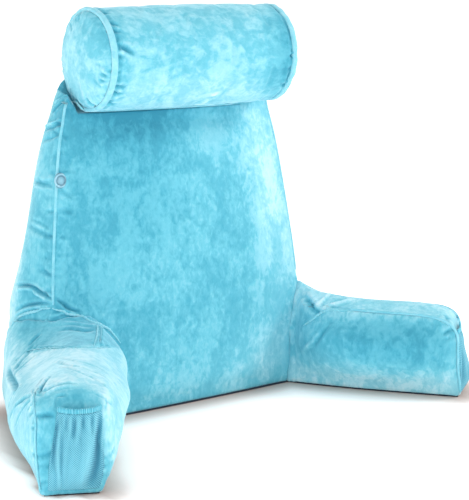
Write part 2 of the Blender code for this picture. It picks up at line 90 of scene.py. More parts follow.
def bump(tree, height, distance, strength=1.0):
    inputs = {"Height": height, "Distance": distance, "Strength": strength}
    return add_node(tree, "ShaderNodeBump", inputs).outputs[0]


def colour(code):
    """A linear colour from a six-figure screen code."""
    shares = [int(code[i:i + 2], 16) / 255 for i in (0, 2, 4)]
    linear = [c / 12.92 if c <= 0.04045 else ((c + 0.055) / 1.055) ** 2.4 for c in shares]
    return (*linear, 1.0)


def ramp_of(tree, value, stops):
    """A colour ramp through (place, screen code) stops."""
    ramp = add_node(tree, "ShaderNodeValToRGB")
    band = ramp.color_ramp
    while len(band.elements) < len(stops):
        band.elements.new(1.0)
    for element, (place, code) in zip(band.elements, stops):
        element.position = place
        element.color = colour(code)
    tree.links.new(value, ramp.inputs[0])
    return ramp.outputs[0]


def weave_group():
    """Over-and-under threads: how high each spot stands, and a tone with painted shade where the weave lies
    lower, that varies thread by thread.
    """
    group, given, result = new_group("plain_weave", "ShaderNodeTree", {"Place": "Vector", "Thread": "Float"},
                                     {"Height": "Float", "Shade": "Float"})
    parts = add_node(group, "ShaderNodeSeparateXYZ", {0: given["Place"]}).outputs
    turns = calculate(group, "DIVIDE", math.pi, given["Thread"])
    across = calculate(group, "SINE", calculate(group, "MULTIPLY", parts["X"], turns))
    along = calculate(group, "SINE", calculate(group, "MULTIPLY", parts["Y"], turns))
    height = calculate(group, "MULTIPLY_ADD", calculate(group, "MULTIPLY", across, along), 0.5, 0.5)
    slub = add_node(group, "ShaderNodeTexNoise", {"Vector": given["Place"], "Scale": 220.0, "Detail": 3.0})
    slub_shade = calculate(group, "MULTIPLY", slub.outputs[0], 0.6)
    # painted shade where the weave lies lower, plus the slub's own tone
    shade = calculate(group, "MULTIPLY_ADD", height, 0.5, slub_shade)
    feed(group, result, {"Height": height, "Shade": shade})
    return group


PLAIN_WEAVE = weave_group()


def cloth_material(name, thread, stops, roughness, depth):
    """A flat woven cloth whose threads lie along x and y."""
    material, tree, skin = new_material(name)
    place = add_node(tree, "ShaderNodeTexCoord").outputs["Object"]
    weave = add_node(tree, "ShaderNodeGroup", node_tree=PLAIN_WEAVE)
    feed(tree, weave, {"Thread": thread, "Place": place})
    feed(tree, skin, {"Base Color": ramp_of(tree, weave.outputs["Shade"], stops),
                      "Normal": bump(tree, weave.outputs["Height"], depth, 0.6),
                      "Roughness": roughness, "Sheen Weight": 0.15})
    return material


def put(name, data):
    """An object of the scene, with this mesh, lamp or lens."""
    made = bpy.data.objects.new(name, data)
    bpy.context.scene.collection.objects.link(made)
    return made


def put_shape(name, shape):
    """An object with the mesh that was built, which is closed after this."""
    mesh = bpy.data.meshes.new(name)
    shape.to_mesh(mesh)
    shape.free()
    return put(name, mesh)


def smooth(faces):
    for face in faces:
        face.smooth = True


def copy_of(node, name):
    """A whole mesh from a solid's loose triangles."""
    mesh = bpy.data.meshes.new(name)
    shape = bmesh.new()
    shape.from_mesh(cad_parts[node].data)
    for kind in (shape.loops.layers.uv, shape.loops.layers.float_vector):
        for layer in list(kind.values()):
            kind.remove(layer)
    bmesh.ops.remove_doubles(shape, verts=shape.verts[:], dist=1e-5)
    bmesh.ops.recalc_face_normals(shape, faces=shape.faces[:])
    smooth(shape.faces)
    shape.to_mesh(mesh)
    shape.free()
    for extra in [a.name for a in mesh.attributes if a.name.startswith("custom_normal")]:
        mesh.attributes.remove(mesh.attributes[extra])
    return put(name, mesh)


def finish_modifiers(piece):
    """The shape that the modifiers give becomes the piece's own mesh."""
    view = bpy.context.evaluated_depsgraph_get()
    view.update()
    mesh = bpy.data.meshes.new_from_object(piece.evaluated_get(view))
    piece.modifiers.clear()
    piece.data = mesh
    mesh.name = piece.name


def subdivide(piece, levels):
    finer = piece.modifiers.new("finer", "SUBSURF")
    finer.levels = finer.render_levels = levels


BASE_INSET = 0.0018              # how far the cloth's edge lies inside the velour's,
FRONT_INSET = 2.2                # this many times further under the left arm's front,
FRONT_FROM = -0.10               # which begins at this y
NAVY = ((0.25, "0A1626"), (0.6, "14263C"), (0.9, "21374F"))
navy = cloth_material("navy_cloth", BASE_THREAD, NAVY, roughness=0.85, depth=0.0003)
base_cloth = copy_of("base", "base_cloth")
base_cloth.data.materials.append(navy)
rim = np.array([tuple(v.normal) for v in base_cloth.data.vertices]) * (1.0, 1.0, 0.0)
rim /= np.maximum(np.linalg.norm(rim, axis=1), 0.2)[:, None]
for vertex, outwards in zip(base_cloth.data.vertices, rim):
    tucked = FRONT_INSET if vertex.co.y < FRONT_FROM and vertex.co.x < 0 else 1.0
    vertex.co -= Vector(outwards) * BASE_INSET * tucked
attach(base_cloth, "root")
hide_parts("base")

# ---- Back cushion ----------------------------------------------------------------------------
# A tall filled cushion of short crushed-pile velour: a front and a rear panel joined by a boxing
# strip, with a welt in the front seam, and stuffed with shredded foam, so that each panel swells.

BACK_VOXEL = 0.0064
BACK_SLACK = 0.004               # how far the velour lies inside the filled shape before it is stuffed
BACK_SWELL = 0.006               # how far the filling may push it out again
WELT_LOST = 0.15                 # past this x the front seam has swallowed its cord,
WELT_HIGH = 0.499                # and above this z too, under the roll
ROLL_MIDDLE = np.array((0.0142, 0.0959, 0.5648))
ROLL_AXIS = np.array((0.99780, -0.06627, 0.0))
ROLL_ROUND = 0.0815              # the filled roll's radius
ROLL_END = 0.1810
ROLL_DROP = 0.0026               # the roll hangs this much lower than it was cut to lie,
ROLL_LEAN = 0.0146               # and leans down to the left by this much for each metre
ROLL_SOFT = 0.0022               # how softly the back's velour curves away from the roll
SHARP_SEAM = math.radians(32)    # two faces that meet at more than this are joined by a seam
STUFFED = {"quality": 4, "mass": 0.3, "tension_stiffness": 12.0, "compression_stiffness": 12.0,
           "shear_stiffness": 5.0, "bending_stiffness": 0.4, "use_pressure": True,
           "uniform_pressure_force": 4.0, "shrink_min": -0.02, "vertex_group_mass": "sewn"}
FILL_FRAMES = 20
FILL_LEAST = 0.0012              # no part of the filled velour lies deeper than this inside its shape
FLOOR_LEVEL = 0.0031             # the velour ends here, on the base cloth
FOLD_SHADE = 0.24                # how much painted shade a crease adds to the nap, and painted highlight a ridge
CREASE_DEPTH = 1.6               # all creases, against the depths in their tables
WELT_RISE = 0.0022               # how far the velour stands up beside a welt
HEM_DROP = 0.0027                # how far its foot hangs below the edge of its shape
HEM_FULL = 0.0003                # and this much further at the left arm's front

VELOUR_BLUES = ((0.0, "358BA4"), (0.28, "4DA6BD"), (0.5, "69BCCF"), (0.72, "95D2E0"), (1.0, "CBEBF3"))


def velour_group():
    """Crushed pile. Patches and streaks where the pile leans another way are added to the nap, and
    the fine grain of the fibres to the height."""
    takes = {name: "Float" for name in ("Nap_And_Painted_Light", "Patch", "Streak", "Patch Strength", "Streak Strength")}
    group, given, result = new_group("crushed_pile", "ShaderNodeTree", {"Place": "Vector", **takes},
                                     {"Tone": "Float", "Height": "Float"})

    def noise(scale, detail, rough, twist):
        """Soft noise between -0.5 and 0.5."""
        cloud = add_node(group, "ShaderNodeTexNoise")
        feed(group, cloud, {"Vector": given["Place"], "Scale": scale, "Detail": detail, "Roughness": rough,
                            "Distortion": twist})
        return calculate(group, "SUBTRACT", cloud.outputs[0], 0.5)

    patch = noise(given["Patch"], 5.0, 0.58, 0.7)
    streak = noise(given["Streak"], 4.0, 0.60, 0.5)
    fibre = noise(420.0, 3.0, 0.7, 0.0)
    ragged = add_node(group, "ShaderNodeMapRange",
                      {"Value": calculate(group, "MULTIPLY_ADD", streak, 0.45, patch),
                       "From Min": -0.14, "From Max": 0.14, "To Min": -0.16, "To Max": 0.16},
                      interpolation_type="SMOOTHSTEP")
    tone = calculate(group, "MULTIPLY_ADD", ragged.outputs[0], given["Patch Strength"], given["Nap_And_Painted_Light"])
    tone = calculate(group, "MULTIPLY_ADD", streak, given["Streak Strength"], tone)
    tone = calculate(group, "MULTIPLY_ADD", fibre, 0.14, tone)
    height = calculate(group, "MULTIPLY_ADD", streak, 0.8, calculate(group, "MULTIPLY", fibre, 0.7))
    feed(group, result, {"Tone": tone, "Height": calculate(group, "MULTIPLY_ADD", patch, 3.0, height)})
    return group


CRUSHED_PILE = velour_group()


def velour(name, stretch, patch, streak, patch_strength, streak_strength, sheen=0.9):
    """Velour whose crushed patches are drawn out along one direction. The nap_and_painted_light attribute
    holds the broad light and dark fields, the pile's own tone and painted light and shade."""
    material, tree, skin = new_material(name)
    place = add_node(tree, "ShaderNodeTexCoord").outputs["Object"]
    pile = add_node(tree, "ShaderNodeGroup", node_tree=CRUSHED_PILE)
    drawn_out = add_node(tree, "ShaderNodeMapping", {"Vector": place, "Scale": stretch})
    feed(tree, pile, {"Place": drawn_out.outputs[0],
                      "Nap_And_Painted_Light": add_node(tree, "ShaderNodeAttribute", attribute_name="nap_and_painted_light").outputs["Fac"],
                      "Patch": patch, "Patch Strength": patch_strength,
                      "Streak": streak, "Streak Strength": streak_strength})
    feed(tree, skin, {"Base Color": ramp_of(tree, pile.outputs["Tone"], VELOUR_BLUES),
                      "Normal": bump(tree, pile.outputs["Height"], 0.0007, 0.7),
                      "Roughness": 0.9, "Specular IOR Level": 0.15, "Subsurface Weight": 0.22,
                      "Subsurface Radius": (0.3, 0.8, 1.0), "Subsurface Scale": 0.005,
                      "Sheen Weight": sheen, "Sheen Roughness": 0.40, "Sheen Tint": colour("C4EEF8")})
    return material


def places_of(mesh, layer="vertices", name="co"):
    flat = np.empty(len(mesh.vertices) * 3, dtype=np.float32)
    getattr(mesh, layer).foreach_get(name, flat)
    return flat.reshape(-1, 3).astype(np.float64)


def normals_of(mesh):
    return places_of(mesh, "vertex_normals", "vector")


def values_of(layer):
    """What a mesh's attribute holds at each point."""
    values = np.empty(len(layer.data), dtype=np.float32)
    layer.data.foreach_get("value", values)
    return values


def keep_values(mesh, name, values):
    layer = mesh.attributes.get(name) or mesh.attributes.new(name, "FLOAT", "POINT")
    layer.data.foreach_set("value", values.astype(np.float32))


@contextmanager
def opened(mesh):
    """A mesh opened for editing. It is written back at the end."""
    shape = bmesh.new()
    shape.from_mesh(mesh)
    yield shape
    shape.to_mesh(mesh)
    shape.free()


def place_points(mesh, places):
    mesh.vertices.foreach_set("co", places.astype(np.float32).ravel())
    mesh.update()


def tree_of(mesh):
    return BVHTree.FromPolygons([v.co for v in mesh.vertices], [p.vertices for p in mesh.polygons])


def gap_to(places, nodes, far):
    """How far each point lies from the nearest of the named solids, up to far."""
    gap = np.full(len(places), far)
    for node in nodes:
        tree = tree_of(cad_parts[node].data)
        for i, place in enumerate(places):
            distance = tree.find_nearest(place, float(gap[i]))[3]
            if distance is not None:
                gap[i] = distance
    return gap


def share_within(gap, near, far):
    """1 where the gap is under near, falling to 0 at far."""
    return np.clip((far - gap) / (far - near), 0.0, 1.0)


def everywhere(places):
    return np.ones(len(places), dtype=bool)


def cushion(node, name, voxel, slack, swell, welts, neighbours, cord_shows=everywhere):
    """The filled shape of a solid: remeshed evenly, drawn in a little, then blown up like stuffed
    cloth that stays put along its seams, at its neighbours and on the floor."""
    piece = copy_of(node, name)
    with opened(piece.data) as shape:
        bmesh.ops.join_triangles(shape, faces=shape.faces[:], angle_face_threshold=math.radians(30),
                                 angle_shape_threshold=math.radians(70))
        crease = shape.edges.layers.float.new("crease_edge")
        for edge in shape.edges:
            if edge.calc_face_angle(0.0) > SHARP_SEAM:
                edge[crease] = 0.8
    subdivide(piece, 2)
    even = piece.modifiers.new("even", "REMESH")
    even.mode = "VOXEL"
    even.voxel_size = voxel
    even.use_smooth_shade = True
    smoother = piece.modifiers.new("smooth", "SMOOTH")
    smoother.factor = 0.5
    smoother.iterations = 4
    finish_modifiers(piece)
    mesh = piece.data
    places = places_of(mesh)
    seam_gap = gap_to(places, welts, 0.030)
    held = share_within(np.minimum(seam_gap, gap_to(places, neighbours, 0.030)), 0.005, 0.028)
    held = np.maximum(held, np.clip((0.022 - places[:, 2]) / 0.016, 0.0, 1.0))
    start = places - normals_of(mesh) * (slack * (1.0 - held))[:, None]
    place_points(mesh, start)
    group = piece.vertex_groups.new(name="sewn")
    for weight in np.unique(np.round(held, 2)):
        chosen = np.where(np.round(held, 2) == weight)[0].tolist()
        if weight > 0:
            group.add(chosen, float(weight), "REPLACE")
    cloth = piece.modifiers.new("filling", "CLOTH")
    for setting, value in STUFFED.items():
        setattr(cloth.settings, setting, value)
    cloth.settings.effector_weights.gravity = 0.0
    cloth.collision_settings.use_collision = False
    for step in range(1, FILL_FRAMES + 1):
        bpy.context.scene.frame_set(step)
    view = bpy.context.evaluated_depsgraph_get()
    filled = places_of(piece.evaluated_get(view).data)
    piece.modifiers.clear()
    piece.vertex_groups.clear()
    bpy.context.scene.frame_set(1)
    move = filled - start
    far = np.linalg.norm(move, axis=1)[:, None] + 1e-9
    move *= swell * np.tanh(far / swell) / far
    filled = start + move * (1.0 - held)[:, None]
    outwards = normals_of(mesh)
    off = ((filled - places) * outwards).sum(axis=1)
    places = filled + outwards * (np.clip(off, -FILL_LEAST, swell) - off)[:, None]
    solid = tree_of(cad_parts[node].data)
    at_floor = np.clip((0.016 - places[:, 2]) / 0.008, 0.0, 1.0)
    drawn = np.maximum(share_within(seam_gap, 0.004, 0.018), at_floor)
    for i in np.where(drawn > 0)[0]:
        places[i] += (np.array(solid.find_nearest(places[i])[0]) - places[i]) * drawn[i]
    places[:, 2] = np.maximum(places[:, 2], FLOOR_LEVEL)
    place_points(mesh, places)
    subdivide(piece, 1)
    finish_modifiers(piece)
    piece.data.shade_smooth()
    tuck_welts(piece, welts, cord_shows)
    return piece


def tuck_welts(piece, welts, cord_shows):
    """The edge of the cloth is drawn up to each welt, and the cloth stands up round it on both sides,
    so that the cord lies half sunk. Where the cord doesn't show, the seam is drawn soft over it."""
    places = places_of(piece.data)
    gap = gap_to(places, welts, 0.034)
    shows = cord_shows(places)
    rise = WELT_RISE * np.exp(-(gap / 0.012) ** 2) * (gap < 0.033) * shows
    places += normals_of(piece.data) * rise[:, None]
    for node in welts:
        cord = tree_of(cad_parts[node].data)
        for i in np.where((gap < 0.009) & shows)[0]:
            spot, _, _, distance = cord.find_nearest(places[i], 0.008)
            if spot is not None:
                places[i] += (np.array(spot) - places[i]) * min(1.0, max(0.0, (0.008 - distance) / 0.005))
    places[:, 2] = np.maximum(places[:, 2], FLOOR_LEVEL)
    place_points(piece.data, places)
    with opened(piece.data) as shape:
        shape.verts.ensure_lookup_table()
        hidden = np.where((gap < 0.010) & ~shows & (places[:, 2] > 0.015))[0]
        softened = [shape.verts[i] for i in hidden]
        for _ in range(8):
            bmesh.ops.smooth_vert(shape, verts=softened, factor=0.5, use_axis_x=True, use_axis_y=True,
                                  use_axis_z=True)


def refine(piece, low, high):
    """Halves the mesh inside a box, where the creases are fine."""
    with opened(piece.data) as shape:
        inside = {v for v in shape.verts if all(a < c < b for a, c, b in zip(low, v.co, high))}
        edges = [e for e in shape.edges if e.verts[0] in inside and e.verts[1] in inside]
        bmesh.ops.subdivide_edges(shape, edges=edges, cuts=1, use_grid_fill=True)
        smooth(shape.faces)


def close_up(piece, nodes, rise):
    """Where two cushions are sewn side by side, the cloth bulges into the corner between them."""
    places = places_of(piece.data)
    gap = gap_to(places, nodes, 0.016)
    places += normals_of(piece.data) * (rise * share_within(gap, 0.002, 0.015))[:, None]
    place_points(piece.data, places)


def hem(piece, ahead_of=-1.0):
    """The foot of the velour hangs a little over the edge of the base cloth, and further where its y
    is under ahead_of."""
    places = places_of(piece.data)
    upright = np.clip(1.7 - np.abs(normals_of(piece.data)[:, 2]) * 1.3, 0.0, 1.0)
    low = np.clip((0.011 - places[:, 2]) / 0.006, 0.0, 1.0) * upright
    places[:, 2] -= (HEM_DROP + HEM_FULL * np.clip((ahead_of - places[:, 1]) / 0.03, 0, 1)) * low
    place_points(piece.data, places)


def smooth_path(points, step):
    """Points at an even step on a soft curve through the given ones."""
    given = [Vector(p) for p in points]
    ends = [given[0] * 2 - given[1]] + given + [given[-1] * 2 - given[-2]]
    curve = []
    for a, b, c, d in zip(ends, ends[1:], ends[2:], ends[3:]):
        count = max(1, round((c - b).length / step))
        for k in range(count):
            t = k / count
            curve.append(0.5 * (2 * b + (c - a) * t + (2 * a - 5 * b + 4 * c - d) * t ** 2
                                + (3 * b - a - 3 * c + d) * t ** 3))
    curve.append(given[-1])
    return curve


def press(piece, creases, towards=None):
    """Presses soft creases into a piece. Each row is a width, a depth, how blunt the ends are, and the
    points that the crease runs through. A negative depth raises a ridge. A thin cloth is moved along
    one direction, both its faces together."""
    mesh = piece.data
    places = places_of(mesh)
    normals = normals_of(mesh)
    tree = tree_of(mesh)
    shift = np.zeros(len(places))
    for width, depth, blunt, points in creases:
        line = [tree.find_nearest(p) for p in smooth_path(points, 0.002)]
        spine = np.array([hit[0] for hit in line])
        facing = np.array([hit[1] for hit in line])
        low = spine.min(axis=0) - 4 * width
        high = spine.max(axis=0) + 4 * width
        near = np.where(np.all((places > low) & (places < high), axis=1))[0]
        if len(near) == 0:
            continue
        offsets = places[near][:, None, :] - spine[None, :, :]
        square = (offsets ** 2).sum(axis=2)
        closest = square.argmin(axis=1)
        across = np.sqrt(square.min(axis=1)) / width
        same_side = (normals[near] * facing[closest]).sum(axis=1) > (0.2 if towards is None else -2.0)
        share = closest / max(1, len(spine) - 1)
        depth *= CREASE_DEPTH
        fade = np.clip(np.sin(np.pi * (0.02 + 0.96 * share)), 0.0, 1.0) ** (1.0 - blunt)
        profile = np.exp(-across ** 2) - 0.30 * np.exp(-(across - 2.1) ** 2)
        shift[near] -= depth * fade * profile * same_side
    places += (normals if towards is None else np.array(towards)) * shift[:, None]
    before = values_of(mesh.attributes["fold"]) if "fold" in mesh.attributes else 0.0
    keep_values(mesh, "fold", before + shift / 0.003)
    places[:, 2] = np.maximum(places[:, 2], FLOOR_LEVEL)
    place_points(mesh, places)


def seam_puckers(node, seed, count, length, depth, width, where):
    """Short creases that run from a sewn edge into the cloth on either side of it. where says which
    places have them."""
    pick = np.random.default_rng(seed)
    source = copy_of(node, "seam_finder")
    shape = bmesh.new()
    shape.from_mesh(source.data)
    edges = [e for e in shape.edges if e.calc_face_angle(0.0) > SHARP_SEAM
             and all(v.co.z > 0.012 and where(v.co) for v in e.verts)]
    lengths = np.array([e.calc_length() for e in edges])
    rows = []
    for index in pick.choice(len(edges), size=count, p=lengths / lengths.sum()):
        edge = edges[int(index)]
        spot = edge.verts[0].co.lerp(edge.verts[1].co, float(pick.uniform(0.1, 0.9)))
        along = (edge.verts[1].co - edge.verts[0].co).normalized()
        face = edge.link_faces[int(pick.integers(0, 2))]
        inwards = face.calc_center_median() - spot
        inwards = (inwards - along * inwards.dot(along)).normalized()
        reach = length * float(pick.uniform(0.5, 1.4))
        lean = along * reach * float(pick.uniform(-0.45, 0.45))
        middle = spot + inwards * reach * 0.5 + lean * 0.35
        end = spot + inwards * reach + lean
        rows.append((width * float(pick.uniform(0.7, 1.3)), depth * float(pick.uniform(0.4, 1.2)), 0.35,
                     (spot, middle, end)))
    shape.free()
    bpy.data.objects.remove(source)
    return rows


def far_from(places, place, reach):
    """How far each point lies from a place, squared, where its reach counts as 1. Both are in millimetres."""
    return (((places - np.array(place) / 1000) / (np.array(reach) / 1000)) ** 2).sum(axis=1)


def paint_nap_and_light(piece, start, strokes=()):
    """Broad fields of the nap and of painted light and shade. Each stroke is a place and its reach along x, y
    and z, in millimetres, and how much lighter the pile is painted there."""
    mesh = piece.data
    places = places_of(mesh)
    nap_and_painted_light = np.full(len(places), start)
    for place, reach, change in strokes:
        nap_and_painted_light += change * np.exp(-far_from(places, place, reach) ** 1.5)
    if "fold" in mesh.attributes:                # painted shade in a crease and a painted highlight on a ridge
        nap_and_painted_light += FOLD_SHADE * np.clip(values_of(mesh.attributes["fold"]), -1.3, 1.0)
    keep_values(mesh, "nap_and_painted_light", nap_and_painted_light)


def side_of(places, first, second, third, soft):
    """0 on one side of the plane through three points and 1 on the other, over a soft edge."""
    normal = (Vector(second) - Vector(first)).cross(Vector(third) - Vector(first)).normalized()
    along = (places - np.array(first)) @ np.array(normal)
    return np.clip(0.5 + along / soft, 0.0, 1.0)


def add_nap_and_light(piece, change):
    keep_values(piece.data, "nap_and_painted_light", values_of(piece.data.attributes["nap_and_painted_light"]) + change)


def creases(*rows):
    """Rows in millimetres: a width, a depth, how blunt the ends are from 0 to 1, and the points."""
    return [(width / 1000, depth / 1000, blunt, [tuple(c / 1000 for c in p) for p in points])
            for width, depth, blunt, *points in rows]


BACK_CREASES = creases(
    (2.2, -2.0, 0.5, (-182, 155, 493), (-181, 140, 501), (-175, 129, 507)),
    (2.2, -1.8, 0.5, (-188, 152, 486), (-184, 141, 494), (-178, 127, 502)),
    (2.6, 2.2, 0.5, (-190, 154, 480), (-186, 144, 488), (-182, 130, 497)),
    (2.2, -1.8, 0.5, (-185, 169, 456), (-192, 141, 464), (-190, 127, 468)),
    (2.8, 2.2, 0.5, (-188, 168, 450), (-194, 141, 457), (-192, 124, 461)),
    (3.0, 1.6, 0.5, (-198, 160, 436), (-199, 136, 442), (-196, 121, 446)),
    (3.6, 2.2, 0.4, (-207, 168, 373), (-215, 133, 371), (-212, 117, 369)),
    (2.4, -1.2, 0.4, (-208, 168, 367), (-216, 133, 365), (-213, 117, 363)),
    (3.6, 2.2, 0.4, (-223, 166, 304), (-228, 132, 298), (-223, 110, 291)),
    (2.6, 1.2, 0.4, (-226, 160, 316), (-230, 132, 312), (-226, 112, 303)),
    (3.0, 1.4, 0.3, (-217, 104, 294), (-204, 102, 290)),
    (2.4, 2.4, 0.5, (-241, 183, 211), (-244, 138, 215), (-240, 119, 210)),
    (2.2, -2.2, 0.5, (-245, 173, 205), (-245, 138, 211), (-243, 124, 204), (-233, 99, 197)),
    (2.8, 3.2, 0.5, (-245, 137, 212), (-243, 124, 209), (-237, 108, 203), (-233, 97, 199)),
    (2.4, -2.0, 0.5, (-249, 173, 166), (-250, 151, 177), (-244, 123, 185), (-235, 102, 188)),
    (2.6, 2.2, 0.5, (-250, 168, 172), (-250, 146, 183), (-243, 119, 190), (-235, 102, 192)),
    (2.6, 3.0, 0.5, (-227, 95, 198), (-217, 93, 191), (-208, 91, 183), (-191, 87, 175)),
    (3.0, -2.0, 0.4, (-237, 103, 172), (-228, 93, 175), (-214, 91, 177)),
)
# Painted light and shade on the back: painted sheen along the rear edge, painted shade under the roll, in the
# middle and on the left, and painted light on the right edge and low down.
BACK_PAINTED_LIGHT = (
    ((-205, 210, 380), (50, 42, 220), 0.52),     # painted sheen along the rear edge
    ((-245, 210, 190), (50, 42, 70), 0.46),
    ((-90, 110, 470), (90, 80, 50), -0.20),      # shade under the roll
    ((-80, 110, 482), (100, 80, 16), -0.22),
    ((20, 110, 470), (120, 80, 30), -0.10),
    ((-90, 100, 380), (90, 80, 120), -0.12),
    ((-190, 100, 200), (60, 80, 90), -0.06),
    ((190, 130, 400), (60, 70, 130), 0.30),
    ((220, 120, 220), (70, 70, 140), 0.24),
    ((180, 100, 60), (100, 60, 60), 0.22),
    ((80, 120, 420), (50, 60, 60), 0.08),
    ((60, 100, 30), (160, 60, 35), 0.10),
    ((-120, 100, 50), (100, 60, 50), 0.04),
)


def back_cord_shows(places):
    return (places[:, 0] < WELT_LOST) & (places[:, 2] < WELT_HIGH)


BACK_NEIGHBOURS = ("arm_left", "arm_right", "neck_roll", "roll_piping_left", "roll_piping_right", "button")
back = cushion("back", "back_cushion", BACK_VOXEL, BACK_SLACK, BACK_SWELL, ("welt_back",), BACK_NEIGHBOURS,
               cord_shows=back_cord_shows)


def round_the_roll(places):
    """How far along the roll's axis each point lies, and its way out from that axis."""
    along = (places - ROLL_MIDDLE) @ ROLL_AXIS
    return along, places - ROLL_MIDDLE - along[:, None] * ROLL_AXIS


def bed_for_roll(places, room):
    """Cloth under the neck roll gives way round it. room is the space left between them."""
    along, away = round_the_roll(places)
    away[:, 2] += ROLL_DROP - ROLL_LEAN * along
    far = np.maximum(np.linalg.norm(away, axis=1), 1e-6)
    inside = ROLL_ROUND + room - far - np.clip(np.abs(along) - ROLL_END, 0, 1) * 2.5
    moved = ROLL_SOFT * np.logaddexp(0.0, inside / ROLL_SOFT)
    return places + away / far[:, None] * moved[:, None]


place_points(back.data, bed_for_roll(places_of(back.data), room=0.0008))
close_up(back, ("arm_left", "arm_right"), 0.0022)
refine(back, (-0.30, 0.08, 0.150), (-0.186, 0.19, 0.222))
refine(back, (-0.30, 0.10, 0.435), (-0.172, 0.18, 0.515))
press(back, BACK_CREASES)
press(back, seam_puckers("back", 7, 40, 0.024, 0.0015, 0.0030,
                         lambda spot: spot.x < 0.18 and spot.y < 0.15 and spot.z < 0.48))
hem(back)
paint_nap_and_light(back, 0.42, BACK_PAINTED_LIGHT)
back_velour = velour("velour_back", (1.0, 1.0, 0.68), 21.0, 120.0, 0.60, 0.30)
back.data.materials.append(back_velour)
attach(back, "root")
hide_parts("back")

# ---- Arms ------------------------------------------------------------------------------------
# Two filled arms that stand out from the foot of the back. Each has an inner panel, a band over
# its top and down its front, and an outer panel, joined by welted seams.

ARM_VOXEL = 0.0052
ARM_SLACK = 0.003
ARM_SWELL = 0.0055

LEFT_SEAMS = (
    ((-309, 82, 120), (-302, 77, 128), (-292, 73, 134), (-283, 38, 141), (-286, -4, 150), (-278, -37, 156),
     (-241, -29, 148), (-205, -6, 141)),
    ((-184, 53, 161), (-210, 17, 154), (-242, -26, 149)),
)
LEFT_CREASES = creases(
    (2.2, 1.6, 0.8, *LEFT_SEAMS[0]),
    (2.6, 3.0, 0.4, (-336, 51, 108), (-318, 61, 120), (-296, 70, 131), (-282, 80, 139)),
    (2.6, 3.0, 0.4, (-355, 15, 106), (-339, 35, 112), (-324, 37, 123), (-303, 41, 132), (-293, 32, 138)),
    (2.4, 2.2, 0.4, (-328, 51, 115), (-314, 59, 123), (-295, 64, 132), (-280, 67, 140)),
    (2.6, 2.0, 0.4, (-286, 88, 137), (-273, 89, 144), (-263, 88, 151)),
    (4.0, 4.4, 0.3, (-313, 106, 104), (-335, 59, 104), (-372, -22, 107), (-379, -23, 98), (-384, -23, 81)),
    (2.4, 3.4, 0.5, (-378, -121, 142), (-393, -133, 139), (-412, -153, 136), (-421, -162, 132)),
    (2.2, -1.6, 0.5, (-376, -112, 141), (-398, -134, 137), (-417, -150, 131)),
    (2.4, 2.8, 0.5, (-380, -105, 138), (-401, -124, 132), (-417, -141, 127)),
    (2.4, 2.6, 0.5, (-420, -166, 132), (-409, -160, 138), (-397, -161, 143), (-388, -167, 146),
     (-376, -179, 146)),
    (2.2, -1.8, 0.5, (-415, -170, 134), (-406, -169, 139), (-393, -174, 143), (-377, -184, 145)),
    (2.2, 1.4, 0.4, (-408, -183, 134), (-403, -187, 135), (-397, -191, 135)),
    (2.6, 2.6, 0.3, (-403, -72, 94), (-406, -98, 113), (-414, -133, 125)),
    (2.6, 2.4, 0.3, (-395, -48, 73), (-405, -79, 100), (-413, -113, 116)),
    (2.6, 2.2, 0.3, (-416, -96, 76), (-422, -121, 106), (-420, -141, 124)),
    (2.6, 1.0, 0.3, (-318, -52, 147), (-320, -92, 153), (-309, -106, 151), (-295, -116, 143),
     (-287, -135, 132), (-282, -151, 119)),
    (2.6, 1.1, 0.3, (-327, -52, 143), (-338, -108, 152), (-325, -131, 150), (-312, -146, 141),
     (-299, -159, 127), (-296, -173, 115)),
    (2.6, 1.0, 0.3, (-348, -97, 147), (-347, -141, 151), (-336, -163, 145), (-329, -185, 135),
     (-317, -192, 117)),
    (2.0, 1.2, 0.5, (-408, -185, 133), (-414, -192, 121)),
    (2.0, 1.2, 0.5, (-344, -211, 128), (-356, -225, 112)),
    (1.8, 1.2, 0.8, *LEFT_SEAMS[1]),
    (5.0, 1.6, 0.4, (-245, 67, 158), (-233, 50, 162), (-220, 32, 160), (-201, 33, 158)),
    (4.0, -1.4, 0.4, (-235, 84, 164), (-220, 71, 166), (-205, 55, 164), (-192, 47, 160)),
)
RIGHT_CREASES = creases(
    (3.8, -2.6, 0.4, (243, 12, 136), (251, 3, 141), (267, -7, 148), (288, -13, 154)),
    (4.5, 3.5, 0.4, (251, 65, 149), (244, 41, 141), (238, 24, 134), (241, 10, 133)),
    (3.5, -2.2, 0.4, (226, 43, 60), (219, 9, 85), (221, -6, 103), (230, -13, 118)),
    (4.0, 2.2, 0.4, (220, 10, 77), (221, -9, 102), (236, -17, 123)),
    (3.5, -1.8, 0.4, (243, 22, 139), (265, 26, 155), (280, 30, 160)),
)
LEFT_STROKES = (
    ((-220, 60, 150), (100, 80, 60), -0.04),
    ((-370, 20, 100), (50, 60, 50), 0.12),
    ((-300, 140, 110), (30, 50, 50), 0.18),
    ((-420, -120, 50), (30, 50, 50), -0.10),
)
# Painted shade on the right arm: over its middle height, where its inner panel faces away from the key light,
# and in its corner by the back.
RIGHT_PAINTED_SHADE = (
    ((300, -110, 90), (110, 130, 48), -0.36),
    ((250, 30, 80), (50, 50, 50), -0.16),
)
LEFT_AHEAD = (-0.4726, -0.8813, 0.0)
LEFT_INWARDS = (0.8813, -0.4726, 0.0)
LEFT_CROSS_SEAM = ((-0.302, 0.077, 0.128), (-0.278, -0.037, 0.156), (-0.186, 0.008, 0.133))
LEFT_LOW_NAP = 0.42              # both sides of that seam, and this much lighter ahead of it
LEFT_SIDES = (0.42, 0.20, 0.22)  # less so on its front face, its outer side and its inner side


def left_cords_show(places):
    """The left arm's cords show on the outer edge of its front face, and at the rear of its top."""
    inwards = places @ np.array(LEFT_INWARDS)
    in_front = (places @ np.array(LEFT_AHEAD) > 0.30) & (inwards < -0.27) & (places[:, 2] < 0.135)
    return in_front | ((places[:, 1] > -0.015) & (inwards > -0.23))


